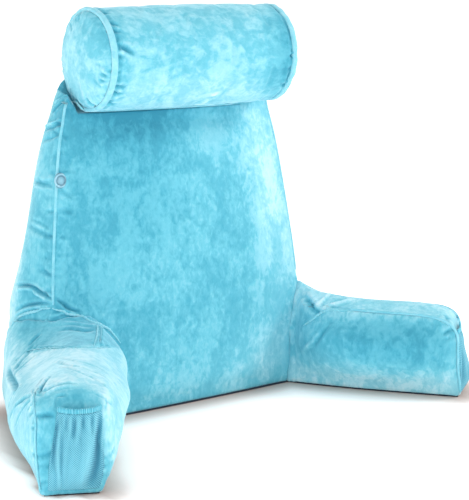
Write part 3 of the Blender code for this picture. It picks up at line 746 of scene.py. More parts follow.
arm_left = cushion("arm_left", "arm_left_cushion", ARM_VOXEL, ARM_SLACK, ARM_SWELL,
                   ("welt_left_inner", "welt_left_outer"), ("back", "pocket_left", "elastic_left"),
                   cord_shows=left_cords_show)
close_up(arm_left, ("back",), 0.0026)
refine(arm_left, (-0.46, -0.22, 0.058), (-0.30, 0.12, 0.18))
press(arm_left, LEFT_CREASES)
press(arm_left, seam_puckers("arm_left", 11, 40, 0.018, 0.0014, 0.0028, lambda spot: spot.y < 0.05))
hem(arm_left, ahead_of=-0.09)
paint_nap_and_light(arm_left, LEFT_LOW_NAP, LEFT_STROKES)
left_places = places_of(arm_left.data)
ahead = 1.0 - side_of(left_places, *LEFT_CROSS_SEAM, 0.004)
along = left_places @ np.array(LEFT_AHEAD)
inwards = left_places @ np.array(LEFT_INWARDS)
outer_side = np.clip((-0.292 - inwards) / 0.014, 0, 1)
front_face = np.clip((along - 0.330) / 0.026, 0, 1) * (1 - outer_side)
front_face *= np.clip((-0.2035 - inwards) / 0.014, 0, 1)
inner_side = np.clip(normals_of(arm_left.data) @ np.array(LEFT_INWARDS) - 0.2, 0, 1)
sides = (front_face, outer_side, inner_side)
darker = sum(share * side for share, side in zip(LEFT_SIDES, sides))
add_nap_and_light(arm_left, ahead * (LEFT_LOW_NAP - darker) + (1 - ahead) * 0.16 * outer_side)
arm_velour = velour("velour_arms", (1.0, 1.0, 0.60), 24.0, 110.0, 0.60, 0.30)
arm_left.data.materials.append(arm_velour)
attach(arm_left, "root")
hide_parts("arm_left")

arm_right = cushion("arm_right", "arm_right_cushion", ARM_VOXEL, ARM_SLACK, ARM_SWELL,
                    ("welt_right_inner", "welt_right_outer"), ("back", "pocket_right", "elastic_right"))
close_up(arm_right, ("back",), 0.0026)
press(arm_right, RIGHT_CREASES)
press(arm_right, seam_puckers("arm_right", 12, 34, 0.018, 0.0014, 0.0028,
                              lambda spot: spot.y < 0.03 and spot.z > 0.095))
hem(arm_right)
paint_nap_and_light(arm_right, 0.60, RIGHT_PAINTED_SHADE)
# Painted light on the right arm: lighter on its low band, as the white floor would light it, and on its top.
height = places_of(arm_right.data)[:, 2]
low, high = np.clip((0.060 - height) / 0.035, 0, 1), np.clip((height - 0.125) / 0.012, 0, 1)
add_nap_and_light(arm_right, 0.16 * low + 0.14 * high)
arm_right.data.materials.append(arm_velour)
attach(arm_right, "root")
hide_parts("arm_right")

# ---- Neck roll -------------------------------------------------------------------------------
# A round bolster of the same velour, filled like the back, with a round panel sewn into each end.

ROLL_VOXEL = 0.0045
ROLL_CREASES = creases(
    (3.8, 2.6, 0.3, (-153, 33, 588), (-138, 30, 582), (-124, 28, 573)),
    (3.0, 1.8, 0.3, (-155, 42, 527), (-148, 39, 527), (-134, 39, 524)),
    (3.0, 1.8, 0.3, (-155, 47, 520), (-136, 47, 514)),
    (3.0, 1.6, 0.3, (-154, 65, 502), (-137, 65, 499)),
    (3.0, 1.4, 0.3, (-154, 31, 572), (-140, 29, 571)),
    (3.0, 1.4, 0.3, (-152, 53, 620), (-139, 47, 616)),
    (3.0, 1.6, 0.3, (-154, 45, 610), (-140, 41, 607)),
    (2.8, 1.6, 0.3, (-172, 50, 546), (-164, 42, 542)),
    (2.8, 1.6, 0.3, (-172, 56, 537), (-164, 46, 534)),
    (2.8, 1.8, 0.3, (-168, 95, 508), (-161, 87, 498)),
    (2.8, 1.8, 0.3, (-164, 128, 502), (-155, 108, 493)),
    (3.5, -1.6, 0.3, (18, 70, 489), (25, 61, 494), (33, 49, 501)),
    (3.5, -1.4, 0.3, (26, 42, 507), (41, 40, 508)),
)
ROLL_STROKES = (
    ((0, 30, 510), (160, 50, 30), 0.12),
    ((-160, 50, 610), (30, 50, 30), -0.10),
    ((180, 20, 560), (50, 70, 90), -0.36),
    # painted shade beside the left band, among its puckers
    ((-145, 40, 570), (16, 80, 80), -0.12),
    ((-172, 110, 550), (6, 60, 50), 0.10),
)
ROLL_LEVEL = np.array((-ROLL_AXIS[1], ROLL_AXIS[0], 0.0))
UPWARDS = np.array((0.0, 0.0, 1.0))


def roll_ring(along, radius, count=48):
    """Points of a circle round the roll's axis."""
    turns = [2 * math.pi * k / count for k in range(count + 1)]
    middle = ROLL_MIDDLE + ROLL_AXIS * along
    return [middle + (ROLL_LEVEL * math.cos(t) + UPWARDS * math.sin(t)) * radius for t in turns]


roll = cushion("neck_roll", "neck_roll_cushion", ROLL_VOXEL, 0.0, 0.002,
               ("roll_piping_left", "roll_piping_right"), ("back",))
press(roll, [(0.0024, 0.0016, 1.0, roll_ring(end * 0.1600, 0.0775)) for end in (-1, 1)])
press(roll, [(width, depth * 1.5, blunt, points) for width, depth, blunt, points in ROLL_CREASES])
press(roll, seam_puckers("neck_roll", 5, 80, 0.017, 0.0017, 0.0026, lambda spot: True))
paint_nap_and_light(roll, 0.58, ROLL_STROKES)
roll_velour = velour("velour_roll", (0.8, 1.0, 1.0), 27.0, 90.0, 0.58, 0.32)
roll.data.materials.append(roll_velour)
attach(roll, "root")
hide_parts("neck_roll")

# ---- Welts and pipings -----------------------------------------------------------------------
# Each seam holds a strip of velour folded round a cord. The roll's end seams have a thicker piping.

WELT_THINNER = {"welt_back": 0.0004, "welt_left_inner": 0.0019, "welt_left_outer": 0.0013,
                "welt_right_inner": 0.0002, "welt_right_outer": 0.0008}
BACK_CORD_RIGHT = (-0.0054, 0.0044, 0.0)     # how the back's cord goes in under the velour on the right
BACK_CORD_HIGH = (0.0, 0.034, -0.012)        # and under the roll
CORD_DEEP = 0.0050               # where a cord is lost in its seam, it lies this far inside the velour
welt_velour = velour("velour_welt", (1.0, 1.0, 1.0), 20.0, 90.0, 0.25, 0.20, sheen=0.8)
WELT_TRIM = {"welt_right_inner": -0.034}     # past this y the seam goes on as a flat one


def sink_cord(places, shows, velour_tree):
    """Points of a cord that doesn't show go in under the velour."""
    for i in np.where(~shows)[0]:
        spot, outwards, _, _ = velour_tree.find_nearest(places[i])
        above = (places[i] - np.array(spot)) @ np.array(outwards)
        places[i] -= np.array(outwards) * max(0.0, above + CORD_DEEP)
    return places


for node, thinner in WELT_THINNER.items():
    cord = copy_of(node, node + "_velour")
    if node in WELT_TRIM:
        with opened(cord.data) as shape:
            bmesh.ops.bisect_plane(shape, geom=shape.verts[:] + shape.edges[:] + shape.faces[:],
                                   plane_co=(0, WELT_TRIM[node], 0), plane_no=(0, 1, 0), clear_outer=True)
            bmesh.ops.holes_fill(shape, edges=[e for e in shape.edges if e.is_boundary])
    subdivide(cord, 1)
    finish_modifiers(cord)
    places = places_of(cord.data)
    places -= normals_of(cord.data) * thinner
    if node == "welt_back":
        high = np.clip((places[:, 2] - WELT_HIGH + 0.003) / 0.010, 0, 1)
        places += np.array(BACK_CORD_HIGH) * high[:, None]
        right = np.clip((places[:, 0] - WELT_LOST + 0.03) / 0.03, 0, 1)
        places += np.array(BACK_CORD_RIGHT) * right[:, None]
    elif "left" in node:
        places = sink_cord(places, left_cords_show(places), tree_of(arm_left.data))
    place_points(cord.data, places)
    paint_nap_and_light(cord, 0.62)
    cord.data.materials.append(welt_velour)
    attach(cord, "root")
    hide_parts(node)

# ---- Flat seams ------------------------------------------------------------------------------
# Where the panels meet without a welt, the sewn edge shows as a thin rolled line of velour.


def swept(group, result, path, profile, size, finish):
    """The end of a tree: a section swept along a path, smooth and whole, with its material."""
    sweep = add_node(group, "GeometryNodeCurveToMesh")
    feed(group, sweep, {"Curve": path, "Profile Curve": profile, "Scale": size, "Fill Caps": True})
    soft = add_node(group, "GeometryNodeSetShadeSmooth", {0: sweep.outputs[0]})
    whole = add_node(group, "GeometryNodeRealizeInstances", {0: soft.outputs[0]})
    done = add_node(group, "GeometryNodeSetMaterial", {0: whole.outputs[0], "Material": finish})
    feed(group, result, {0: done.outputs[0]})


def seam_cord_tree():
    """A thin cord swept along each path, that swells and thins between the stitches."""
    takes = {"Paths": "Geometry", "Radius": 0.0013, "Uneven": 0.25, "Stitch": 0.006, "Finish": "Material"}
    group, given, result = new_group("seam_cord", "GeometryNodeTree", takes, {"Cords": "Geometry"})
    path = add_node(group, "GeometryNodeMeshToCurve", {0: given["Paths"]}).outputs[0]
    steps = add_node(group, "GeometryNodeResampleCurve", mode="LENGTH")
    feed(group, steps, {0: path, "Length": 0.0015})
    reach = add_node(group, "GeometryNodeSplineParameter").outputs
    stitches = calculate(group, "DIVIDE", reach["Length"], given["Stitch"])
    turns = calculate(group, "MULTIPLY", stitches, 2 * math.pi)
    wave = calculate(group, "MULTIPLY_ADD", calculate(group, "SINE", turns), given["Uneven"], 1.0)
    ends = calculate(group, "SINE", calculate(group, "MULTIPLY", reach["Factor"], math.pi))
    ends = calculate(group, "POWER", calculate(group, "MAXIMUM", ends, 0.02), 0.35)
    size = calculate(group, "MULTIPLY", calculate(group, "MULTIPLY", wave, ends), given["Radius"])
    ring = add_node(group, "GeometryNodeCurvePrimitiveCircle", {"Resolution": 8, "Radius": 1.0})
    swept(group, result, steps.outputs[0], ring.outputs[0], size, given["Finish"])
    return group


SEAM_CORD = seam_cord_tree()


def paths_piece(name, lines):
    points = []
    edges = []
    for line in lines:
        edges += [(len(points) + i, len(points) + i + 1) for i in range(len(line) - 1)]
        points += [tuple(p) for p in line]
    mesh = bpy.data.meshes.new(name)
    mesh.from_pydata(points, edges, [])
    return put(name, mesh)


def grow(piece, group, inputs):
    """Runs a geometry tree on a piece and keeps the mesh it makes."""
    tree = piece.modifiers.new("grow", "NODES")
    tree.node_group = group
    keys = {item.name: item.identifier for item in group.interface.items_tree if item.in_out == "INPUT"}
    for name, value in inputs.items():
        tree[keys[name]] = value
    finish_modifiers(piece)


def sewn_lines(name, cushions, lines, radius, nap_and_painted_light):
    """Thin seams laid on the cushions' own surfaces. The lines' points are in millimetres."""
    trees = [tree_of(piece.data) for piece in cushions]
    laid = []
    for line in lines:
        path = smooth_path([tuple(c / 1000 for c in p) for p in line], 0.003)
        hits = [min((tree.find_nearest(p) for tree in trees), key=lambda hit: hit[3]) for p in path]
        laid.append([spot + outwards * radius * 0.25 for spot, outwards, _, _ in hits])
    piece = paths_piece(name, laid)
    grow(piece, SEAM_CORD, {"Radius": radius, "Finish": welt_velour})
    paint_nap_and_light(piece, nap_and_painted_light)
    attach(piece, "root")


def centre_near(node, level):
    """The middle of a welt where it crosses a plane of constant y, in millimetres."""
    places = places_of(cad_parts[node].data)
    chosen = places[(np.abs(places[:, 1] - level) < 0.012) & (places[:, 2] > 0.08)]
    return tuple(chosen.mean(axis=0) * 1000)


welt_end = centre_near("welt_right_inner", -0.040)
RIGHT_SEAMS = (
    ((227, 41, 106), (228, 20, 121), (242, 7, 133), (250, -8, 137), (257, -24, 136), welt_end),
)
LEFT_JOINS = (
    ((-233, 97, 186), (-214, 91, 176), (-193, 83, 170), (-183, 61, 163), (-152, 80, 148), (-137, 77, 135),
     (-125, 75, 119)),
    ((-263, 164, 150), (-251, 160, 163), (-244, 122, 179), (-234, 100, 186)),
)
sewn_lines("arm_left_joins", (back, arm_left), LEFT_JOINS, 0.0022, 0.66)
sewn_lines("arm_left_seams", (arm_left,), LEFT_SEAMS, 0.0014, 0.66)
sewn_lines("arm_right_seams", (arm_right,), RIGHT_SEAMS, 0.0022, 0.62)

# ---- Roll bands ------------------------------------------------------------------------------
# Each end seam of the roll is covered by a flat band of velour folded over a cord, which stands up
# round the end panel.

BAND_RADIUS = 0.0758
BAND_MIDDLE = 0.1674             # from the middle of the roll
BAND_WIDE = 0.0102
BAND_HIGH = 0.0072
BAND_STEPS = 180


def band_profile(count):
    """A flat-topped section with rounded corners: across, up."""
    def squared(value, power):
        return math.copysign(abs(value) ** power, value)

    turns = [2 * math.pi * k / count for k in range(count)]
    return [(squared(math.cos(t), 0.7) * BAND_WIDE / 2, squared(math.sin(t), 0.75) * BAND_HIGH / 2)
            for t in turns]


def roll_band(name, end, seed):
    """A closed ring round one end of the roll, a little uneven as sewn cloth is."""
    pick = np.random.default_rng(seed)
    waves = [(int(pick.integers(5, 26)), float(pick.uniform(0, 6.28)), float(pick.uniform(0.00005, 0.00022)))
             for _ in range(9)]
    middle, axis, level, up_way = (Vector(v) for v in (ROLL_MIDDLE, ROLL_AXIS, ROLL_LEVEL, UPWARDS))
    profile = band_profile(20)
    shape = bmesh.new()
    rings = []
    for i in range(BAND_STEPS):
        turn = 2 * math.pi * i / BAND_STEPS
        out = level * math.cos(turn) + up_way * math.sin(turn)
        uneven = sum(size * math.sin(many * turn + start) for many, start, size in waves)
        rings.append([shape.verts.new(middle + axis * (end * (BAND_MIDDLE + uneven * 0.8 - across))
                                      + out * (BAND_RADIUS + uneven + up - 0.0007 * across / BAND_WIDE))
                      for across, up in profile])
    for ring, following in zip(rings, rings[1:] + rings[:1]):
        for k in range(len(profile)):
            after = (k + 1) % len(profile)
            shape.faces.new((ring[k], ring[after], following[after], following[k]))
    bmesh.ops.recalc_face_normals(shape, faces=shape.faces[:])
    smooth(shape.faces)
    return put_shape(name, shape)


for side, end, seed in (("left", -1, 21), ("right", 1, 22)):
    band = roll_band("roll_band_" + side, end, seed)
    paint_nap_and_light(band, 0.66)
    band.data.materials.append(welt_velour)
    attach(band, "root")
    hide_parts("roll_piping_" + side)

# ---- Net pockets -----------------------------------------------------------------------------
# A pocket of fine knitted net hangs on the front face of each arm, sewn down at its sides and foot
# and gathered into the elastic along its top edge.

NET_CELL = 0.0031
NET_OPEN = 1.8                   # how thin its threads look against its holes
# From the painted shade in the holes to the threads' own colour.
NET_THREADS_AND_HOLE_SHADE = ((0.20, "2A7A96"), (0.62, "4BA4BE"), (1.0, "78C6D9"))
NET_RUN = {"left": (0.850, -0.526, 0.0), "right": (0.748, 0.664, 0.0)}


def net_material():
    """Slanting threads that cross, with small holes between them painted dark as the shaded velour seen
    through them.
    """
    material, tree, skin = new_material("pocket_net")
    place = add_node(tree, "ShaderNodeUVMap", uv_map="net").outputs[0]
    parts = add_node(tree, "ShaderNodeSeparateXYZ", {0: place}).outputs

    def threads(slant):
        """Ridges along one slant, across the other."""
        across = calculate(tree, slant, parts["X"], parts["Y"])
        wave = calculate(tree, "SINE", calculate(tree, "MULTIPLY", across, math.pi / NET_CELL))
        return calculate(tree, "POWER", calculate(tree, "ABSOLUTE", wave), NET_OPEN)

    falling = calculate(tree, "MULTIPLY", threads("SUBTRACT"), 0.70)
    strand = calculate(tree, "MAXIMUM", threads("ADD"), falling)
    cloud = add_node(tree, "ShaderNodeTexNoise", {"Scale": 60.0, "Vector": place})
    # Painted shade in the net's creases and painted highlight on its ridges.
    fold = add_node(tree, "ShaderNodeAttribute", attribute_name="fold")
    tone = calculate(tree, "MULTIPLY_ADD", cloud.outputs[0], 0.25, strand)
    tone = calculate(tree, "MULTIPLY_ADD", fold.outputs["Fac"], 0.30, tone)
    feed(tree, skin, {"Base Color": ramp_of(tree, tone, NET_THREADS_AND_HOLE_SHADE), "Normal": bump(tree, strand, 0.0006),
                      "Roughness": 0.75, "Sheen Weight": 0.1})
    return material


def lay_net(piece, run):
    """Gives the net a flat place in metres across and up its cloth."""
    mesh = piece.data
    layer = mesh.uv_layers.new(name="net")
    places = places_of(mesh)
    across = places @ np.array(run)
    for loop in mesh.loops:
        layer.data[loop.index].uv = (across[loop.vertex_index], places[loop.vertex_index, 2])


NET_FOLDS = {
    "left": creases(
        (2.2, -3.2, 0.5, (-415, -207, 108), (-417.5, -206, 55), (-419, -205, 12)),
        (3.4, 3.0, 0.4, (-420, -204, 110), (-423, -203, 80), (-427, -202, 40)),
        (5.0, 4.6, 0.5, (-366, -233, 110), (-376, -232, 75), (-388, -228, 12)),
        (11.0, 2.6, 0.5, (-368, -233, 70), (-370, -232, 40), (-374, -230, 8)),
        (2.6, 2.4, 0.3, (-407, -213, 113), (-408.5, -214, 92)),
        (2.6, 2.4, 0.3, (-398.5, -219, 113), (-399, -220, 80)),
        (2.6, 2.2, 0.3, (-390, -224, 113), (-390.5, -225, 94)),
        (2.6, 2.4, 0.3, (-381, -229, 113), (-382, -230, 88)),
        (2.6, 1.8, 0.3, (-414, -208, 113), (-415.5, -209, 96)),
    ),
    "right": creases(
        (4.0, 2.6, 0.4, (383, -179, 108), (385, -180, 60), (383, -179, 20)),
        (3.0, 4.0, 0.5, (401, -169, 105), (407, -165, 60), (402, -164, 22)),
        (2.6, 2.2, 0.3, (393, -170, 113), (394, -171, 85)),
        (2.6, 2.2, 0.3, (401, -163, 113), (402, -164, 92)),
        (2.6, 2.2, 0.3, (410, -155, 113), (411, -156, 80)),
    ),
}
NET_FACING = {"left": (-0.526, -0.850, 0.0), "right": (0.664, -0.748, 0.0)}

pocket_net = net_material()
SLACK_SHARE = {"left": 0.0, "right": 0.8}    # how far a mouth has fallen back against its arm
SLACK_DROP = {"left": 0.0, "right": 0.07}
arms = {"left": arm_left, "right": arm_right}


def fall_back(places, side, outside):
    """The mouth of a slack pocket sags and lies back towards the arm. outside is the cloth's own mesh,
    where it has two faces."""
    facing = Vector(NET_FACING[side])
    arm = tree_of(arms[side].data)
    for i, place in enumerate(places):
        start = Vector(place)
        face = outside.ray_cast(start + facing * 0.05, -facing)[0] if outside else start
        behind = arm.ray_cast((face or start) + facing * 0.001, -facing, 0.06)[0]
        if behind is None:
            continue
        room = max(0.0, ((face or start) - behind).length - 0.0045)
        share = SLACK_SHARE[side] * min(1.0, max(0.0, (place[2] - 0.022) / 0.065))
        places[i] -= np.array(facing) * room * share
    places[:, 2] -= places[:, 2] * SLACK_DROP[side]
    return places


for side in ("left", "right"):
    pocket = copy_of("pocket_" + side, "pocket_" + side + "_net")
    subdivide(pocket, 2)
    finish_modifiers(pocket)
    lay_net(pocket, NET_RUN[side])
    if SLACK_SHARE[side]:
        place_points(pocket.data, fall_back(places_of(pocket.data), side, tree_of(pocket.data)))
    press(pocket, NET_FOLDS[side], NET_FACING[side])
    pocket.data.materials.append(pocket_net)
    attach(pocket, "root")
    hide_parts("pocket_" + side)

# ---- Pocket elastics -------------------------------------------------------------------------
# A narrow ruched elastic band that the top edge of each net is gathered into.

RUCHES = 26.0
RUCHE_SEED = {"left": 3.0, "right": 8.0}


def centre_line(node, run, count):
    """The middle of a solid at even steps along a direction."""
    places = places_of(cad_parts[node].data)
    along = places @ np.array(run)
    edges = np.linspace(along.min() - 1e-6, along.max() + 1e-6, count + 1)
    middles = []
    for low, high in zip(edges, edges[1:]):
        chosen = places[(along >= low) & (along <= high)]
        if len(chosen) > 3:
            middles.append((chosen.min(axis=0) + chosen.max(axis=0)) / 2)
    return middles


def ruched_band():
    """A flat band swept along a path, drawn up into small uneven gathers, with painted highlight and shade on
    them.
    """
    takes = {"Path": "Geometry", "High": 0.0068, "Thick": 0.0030, "Gathers": 26.0, "Depth": 0.20, "Seed": 3.0,
             "Finish": "Material"}
    group, given, result = new_group("ruched_band", "GeometryNodeTree", takes, {"Band": "Geometry"})
    path = add_node(group, "GeometryNodeMeshToCurve", {0: given["Path"]}).outputs[0]
    steps = add_node(group, "GeometryNodeResampleCurve", {0: path, "Count": 220})
    upright = add_node(group, "GeometryNodeSetCurveNormal", {0: steps.outputs[0]}, mode="Z_UP")
    share = add_node(group, "GeometryNodeSplineParameter").outputs["Factor"]
    cloud = add_node(group, "ShaderNodeTexNoise", noise_dimensions="1D")
    feed(group, cloud, {"W": calculate(group, "ADD", share, given["Seed"]), "Scale": 14.0})
    turns = calculate(group, "MULTIPLY", calculate(group, "MULTIPLY", given["Gathers"], 2 * math.pi), share)
    wave = calculate(group, "SINE", calculate(group, "MULTIPLY_ADD", cloud.outputs[0], 7.0, turns))
    size = calculate(group, "MULTIPLY_ADD", wave, given["Depth"], 1.0)
    # Painted highlight on each gather's crest and painted shade in the hollow between gathers.
    nap_and_painted_light = add_node(group, "GeometryNodeStoreNamedAttribute", data_type="FLOAT", domain="POINT")
    feed(group, nap_and_painted_light, {"Name": "nap_and_painted_light", "Geometry": upright.outputs[0],
                      "Value": calculate(group, "MULTIPLY_ADD", wave, 0.20, 0.40)})
    profile = add_node(group, "GeometryNodeCurvePrimitiveQuadrilateral", {"Height": given["High"],
                                                                          "Width": given["Thick"]})
    rounded = add_node(group, "GeometryNodeFilletCurve", mode="POLY")
    feed(group, rounded, {0: profile.outputs[0], "Count": 3, "Radius": 0.0012})
    swept(group, result, nap_and_painted_light.outputs[0], rounded.outputs[0], size, given["Finish"])
    return group


RUCHED_BAND = ruched_band()
elastic_velour = velour("elastic_band", (1.0, 1.0, 1.0), 40.0, 260.0, 0.15, 0.35, sheen=0.2)
for side in ("left", "right"):
    node = "elastic_" + side
    path = centre_line(node, NET_RUN[side], 14)
    if SLACK_SHARE[side]:
        path = fall_back(np.array(path), side, None)
    band = paths_piece(node + "_ruched", [path])
    grow(band, RUCHED_BAND, {"Gathers": RUCHES, "Seed": RUCHE_SEED[side], "Finish": elastic_velour})
    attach(band, "root")
    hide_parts(node)

# ---- Button ----------------------------------------------------------------------------------
# A pearly moulded snap button on the back's left boxing holds the strap of the roll in use.

BUTTON_PROFILE = tuple((radius / 1000, height / 1000) for radius, height in (
    (0, 5.0), (3.0, 4.9), (5.2, 4.5), (6.6, 3.7), (7.3, 3.45), (8.0, 3.9), (9.0, 4.7), (10.0, 4.9),
    (11.0, 4.4), (11.8, 3.2), (12.0, 1.8), (11.6, 0.6), (10.8, 0.1)))
BUTTON_SQUASH = (0.80, 1.02)     # across and up, as it is seen on the soft boxing
BUTTON_SIDES = 64
# From the middle out: the pearl's own pale blue, painted shade in the groove, a painted highlight on the rim
# and a painted shadow round its foot.
PEARL_AND_PAINTED_SHADE = ((0.0, "74AEC2"), (0.42, "5F9CB3"), (0.60, "2A6880"), (0.80, "86C0D4"), (1.0, "1F5C76"))


def pearl_material():
    """Cloudy pale blue with a wet gloss, painted shade in its groove and round its foot, and a painted
    highlight on its rim.
    """
    material, tree, skin = new_material("pearl_button")
    place = add_node(tree, "ShaderNodeTexCoord").outputs["Object"]
    cloud = add_node(tree, "ShaderNodeTexNoise")
    feed(tree, cloud, {"Vector": place, "Scale": 90.0, "Detail": 1.0, "Distortion": 1.5})
    ring = add_node(tree, "ShaderNodeAttribute", attribute_name="ring")
    milky = add_node(tree, "ShaderNodeMix", data_type="RGBA")
    factor, first, second = [k for k in milky.inputs if k.enabled]
    tree.links.new(calculate(tree, "MULTIPLY", cloud.outputs[0], 0.22), factor)
    tree.links.new(ramp_of(tree, ring.outputs["Fac"], PEARL_AND_PAINTED_SHADE), first)
    second.default_value = colour("B9E2EE")
    feed(tree, skin, {"Base Color": [k for k in milky.outputs if k.enabled][0], "Roughness": 0.22,
                      "Coat Weight": 0.5, "Coat Roughness": 0.08})
    return material


def turned_button(name, node):
    """A round button turned from its profile, on the solid's own middle and facing."""
    places = places_of(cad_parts[node].data)
    middle = (places.max(axis=0) + places.min(axis=0)) / 2
    facing = np.linalg.svd(places - middle, full_matrices=False)[2][2]
    facing *= -math.copysign(1.0, facing[1])
    foot = middle + facing * ((places - middle) @ facing).min()
    out = Vector(facing)
    side_way = out.cross(Vector((0, 0, 1))).normalized()
    up_way = side_way.cross(out)
    shape = bmesh.new()
    crown = shape.verts.new(Vector(foot) + out * BUTTON_PROFILE[0][1])
    rings = []
    wide, tall = BUTTON_SQUASH
    ways = [side_way * math.cos(t) * wide + up_way * math.sin(t) * tall
            for t in np.linspace(0, 2 * math.pi, BUTTON_SIDES + 1)[:-1]]
    for radius, height in BUTTON_PROFILE[1:]:
        rings.append([shape.verts.new(Vector(foot) + out * height + way * radius) for way in ways])
    for k in range(BUTTON_SIDES):
        after = (k + 1) % BUTTON_SIDES
        shape.faces.new((crown, rings[0][k], rings[0][after]))
        for ring, following in zip(rings, rings[1:]):
            shape.faces.new((ring[k], following[k], following[after], ring[after]))
    shape.faces.new(rings[-1][::-1])
    bmesh.ops.recalc_face_normals(shape, faces=shape.faces[:])
    for face in shape.faces:
        face.smooth = len(face.verts) < 5
    piece = put_shape(name, shape)
    away = places_of(piece.data) - foot
    off_axis = np.linalg.norm(away - np.outer(away @ facing, facing), axis=1) / BUTTON_PROFILE[-3][0]
    keep_values(piece.data, "ring", off_axis)
    return piece


button = turned_button("button_pearl", "button")
button.data.materials.append(pearl_material())
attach(button, "root")
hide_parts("button")

# ---- Settled filling -------------------------------------------------------------------------
# Shredded foam settles unevenly once the pillow stands. Here it has pushed the sewn shape out or
# left it slack, all its layers together, and the roll hangs a little lower at its left end.

TO_THE_LEFT = np.array((-0.7779, 0.6285, 0.0))
BACKWARDS = np.array((0.6285, 0.7779, 0.0))
FULLER = (
    ((-197, 180, 400), (70, 55, 200), TO_THE_LEFT * 0.0115),        # back's left boxing
    ((-245, 200, 175), (50, 60, 50), TO_THE_LEFT * 0.007),
    ((-180, 125, 525), (36, 40, 36), BACKWARDS * 0.008),            # back's corner behind the roll
    ((-390, -60, 40), (60, 90, 45), TO_THE_LEFT * 0.0065),          # left arm, outer side
    ((-285, 178, 88), (60, 70, 35), TO_THE_LEFT * -0.008),
    ((-170, 8, 117), (50, 60, 45), TO_THE_LEFT * -0.0105),          # left arm, inner side
    ((-262, -148, 82), (35, 35, 30), TO_THE_LEFT * 0.0045),
    ((-345, -205, 30), (45, 45, 32), TO_THE_LEFT * -0.0112),
    ((405, -155, 12), (50, 50, 35), TO_THE_LEFT * -0.009),          # right arm's foot
)
ROLL_FULLER = 0.0015
for piece in [o for o in bpy.context.scene.objects if o.type == "MESH" and o.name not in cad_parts]:
    places = places_of(piece.data)
    if piece.name.startswith(("neck_roll", "roll_band")):
        along, outwards = round_the_roll(places)
        fuller = ROLL_FULLER * (1.0 - np.clip(np.abs(along) / 0.165, 0, 1) ** 2)
        places += outwards / 0.078 * fuller[:, None]
        places[:, 2] -= ROLL_DROP - ROLL_LEAN * along
    else:
        start = places.copy()
        for place, reach, move in FULLER:
            places += np.exp(-far_from(start, place, reach))[:, None] * move
    place_points(piece.data, places)

# ---- Floor, light and camera -----------------------------------------------------------------
# A white floor with a painted warm shadow near the pillow, glowing white further off, under soft white light
# from all round, with a larger light to the right.

FLOOR_STEPS = 161
FLOOR_SHADOW_REACH = 0.065         # the painted shadow fades out about this far off the pillow, where the floor glows evenly white
LEFT_SHADOW_SHORTER = 4.0                # and ends this many times nearer on the left
LEFT_PAINTED_GLOW = 0.65                 # more painted glow on that side, lighting up the key light's shadow there
FLOOR_SHADOW_TO_WHITE = ((0.0, "CDB8B0"), (0.35, "F3E6E1"), (1.0, "FFFBF9"))
spread = np.linspace(-1.0, 1.0, FLOOR_STEPS)
line = 0.75 * spread + 39.25 * spread ** 7
floor_points = [(float(x), float(y), 0.0) for y in line for x in line]
corners = [j * FLOOR_STEPS + i for j in range(FLOOR_STEPS - 1) for i in range(FLOOR_STEPS - 1)]
floor_faces = [(k, k + 1, k + FLOOR_STEPS + 1, k + FLOOR_STEPS) for k in corners]
floor_mesh = bpy.data.meshes.new("floor")
floor_mesh.from_pydata(floor_points, [], floor_faces)
floor = put("floor", floor_mesh)
foot = tree_of(base_cloth.data)
off_foot = np.array([foot.find_nearest(p)[3] for p in floor_points])
left_painted_light = np.clip((-np.array(floor_points)[:, 0] - 0.38) / 0.06, 0.0, 1.0)
off_foot *= 1.0 + (LEFT_SHADOW_SHORTER - 1.0) * left_painted_light
white = (1.0 - np.exp(-(off_foot / FLOOR_SHADOW_REACH) ** 2)) * (1.0 + LEFT_PAINTED_GLOW * left_painted_light)
keep_values(floor_mesh, "painted_floor_light", white)
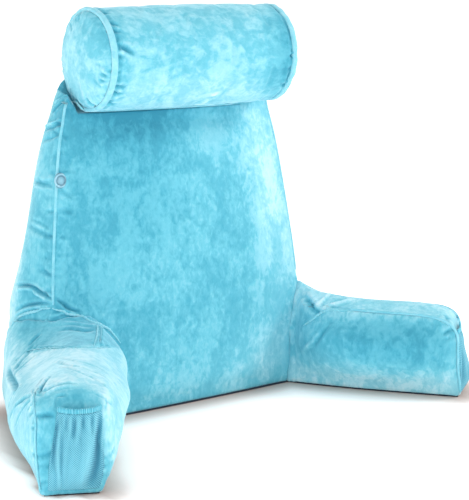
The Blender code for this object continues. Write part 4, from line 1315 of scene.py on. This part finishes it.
# The floor's colour is painted darker and warmer near the pillow, a painted shadow, and past that the floor
# glows: painted light.
floor_shadow_and_glow, tree, skin = new_material("floor_shadow_and_glow")
painted_floor_light = add_node(tree, "ShaderNodeAttribute", attribute_name="painted_floor_light").outputs["Fac"]
feed(tree, skin, {"Base Color": ramp_of(tree, painted_floor_light, FLOOR_SHADOW_TO_WHITE), "Roughness": 0.9,
                  "Specular IOR Level": 0.1, "Emission Color": (1.0, 1.0, 1.0, 1.0),
                  "Emission Strength": calculate(tree, "MULTIPLY", painted_floor_light, 0.48)})
floor_mesh.materials.append(floor_shadow_and_glow)

SKY_SEEN = 1.1
SKY_LIGHT = 0.75
world = bpy.data.worlds.new("soft_white")
world.use_nodes = True
tree = world.node_tree
looked_at = add_node(tree, "ShaderNodeLightPath").outputs["Is Camera Ray"]
feed(tree, tree.nodes["Background"],
     {"Color": (1.0, 1.0, 1.0, 1.0),
      "Strength": calculate(tree, "MULTIPLY_ADD", looked_at, SKY_SEEN - SKY_LIGHT, SKY_LIGHT)})
bpy.context.scene.world = world


def soft_light(name, place, target, size, power):
    lamp = bpy.data.lights.new(name, "AREA")
    lamp.shape = "DISK"
    lamp.size = size
    lamp.energy = power
    holder = put(name, lamp)
    holder.location = place
    holder.rotation_euler = (Vector(target) - Vector(place)).to_track_quat("-Z", "Y").to_euler()


soft_light("key_light", (2.3, -1.3, 2.1), (0.0, 0.0, 0.2), 1.2, 38.0)
soft_light("left_light", (-2.8, 0.2, 1.1), (-0.1, 0.0, 0.2), 1.6, 13.0)
soft_light("front_light", (-1.0, -2.6, 0.9), (0.1, 0.0, 0.1), 1.6, 18.5)

CAMERA_TURN = math.radians(38.94)
CAMERA_DIP = math.radians(9.27)
CAMERA_PLACE = Vector((-1.471015, -1.875886, 0.65281))
level = math.cos(CAMERA_DIP)
ahead_of_lens = Vector((math.sin(CAMERA_TURN) * level, math.cos(CAMERA_TURN) * level, -math.sin(CAMERA_DIP)))
right_of_lens = Vector((math.cos(CAMERA_TURN), -math.sin(CAMERA_TURN), 0.0))
above_lens = right_of_lens.cross(ahead_of_lens)
lens = bpy.data.cameras.new("camera")
lens.sensor_fit = "VERTICAL"
lens.sensor_height = 36.0
lens.lens = 111.19
lens.clip_end = 200.0
camera = put("camera", lens)
turn = Matrix((right_of_lens, above_lens, -ahead_of_lens)).transposed().to_4x4()
camera.matrix_world = Matrix.Translation(CAMERA_PLACE) @ turn
bpy.context.scene.camera = camera
bpy.context.scene.view_settings.view_transform = "Standard"
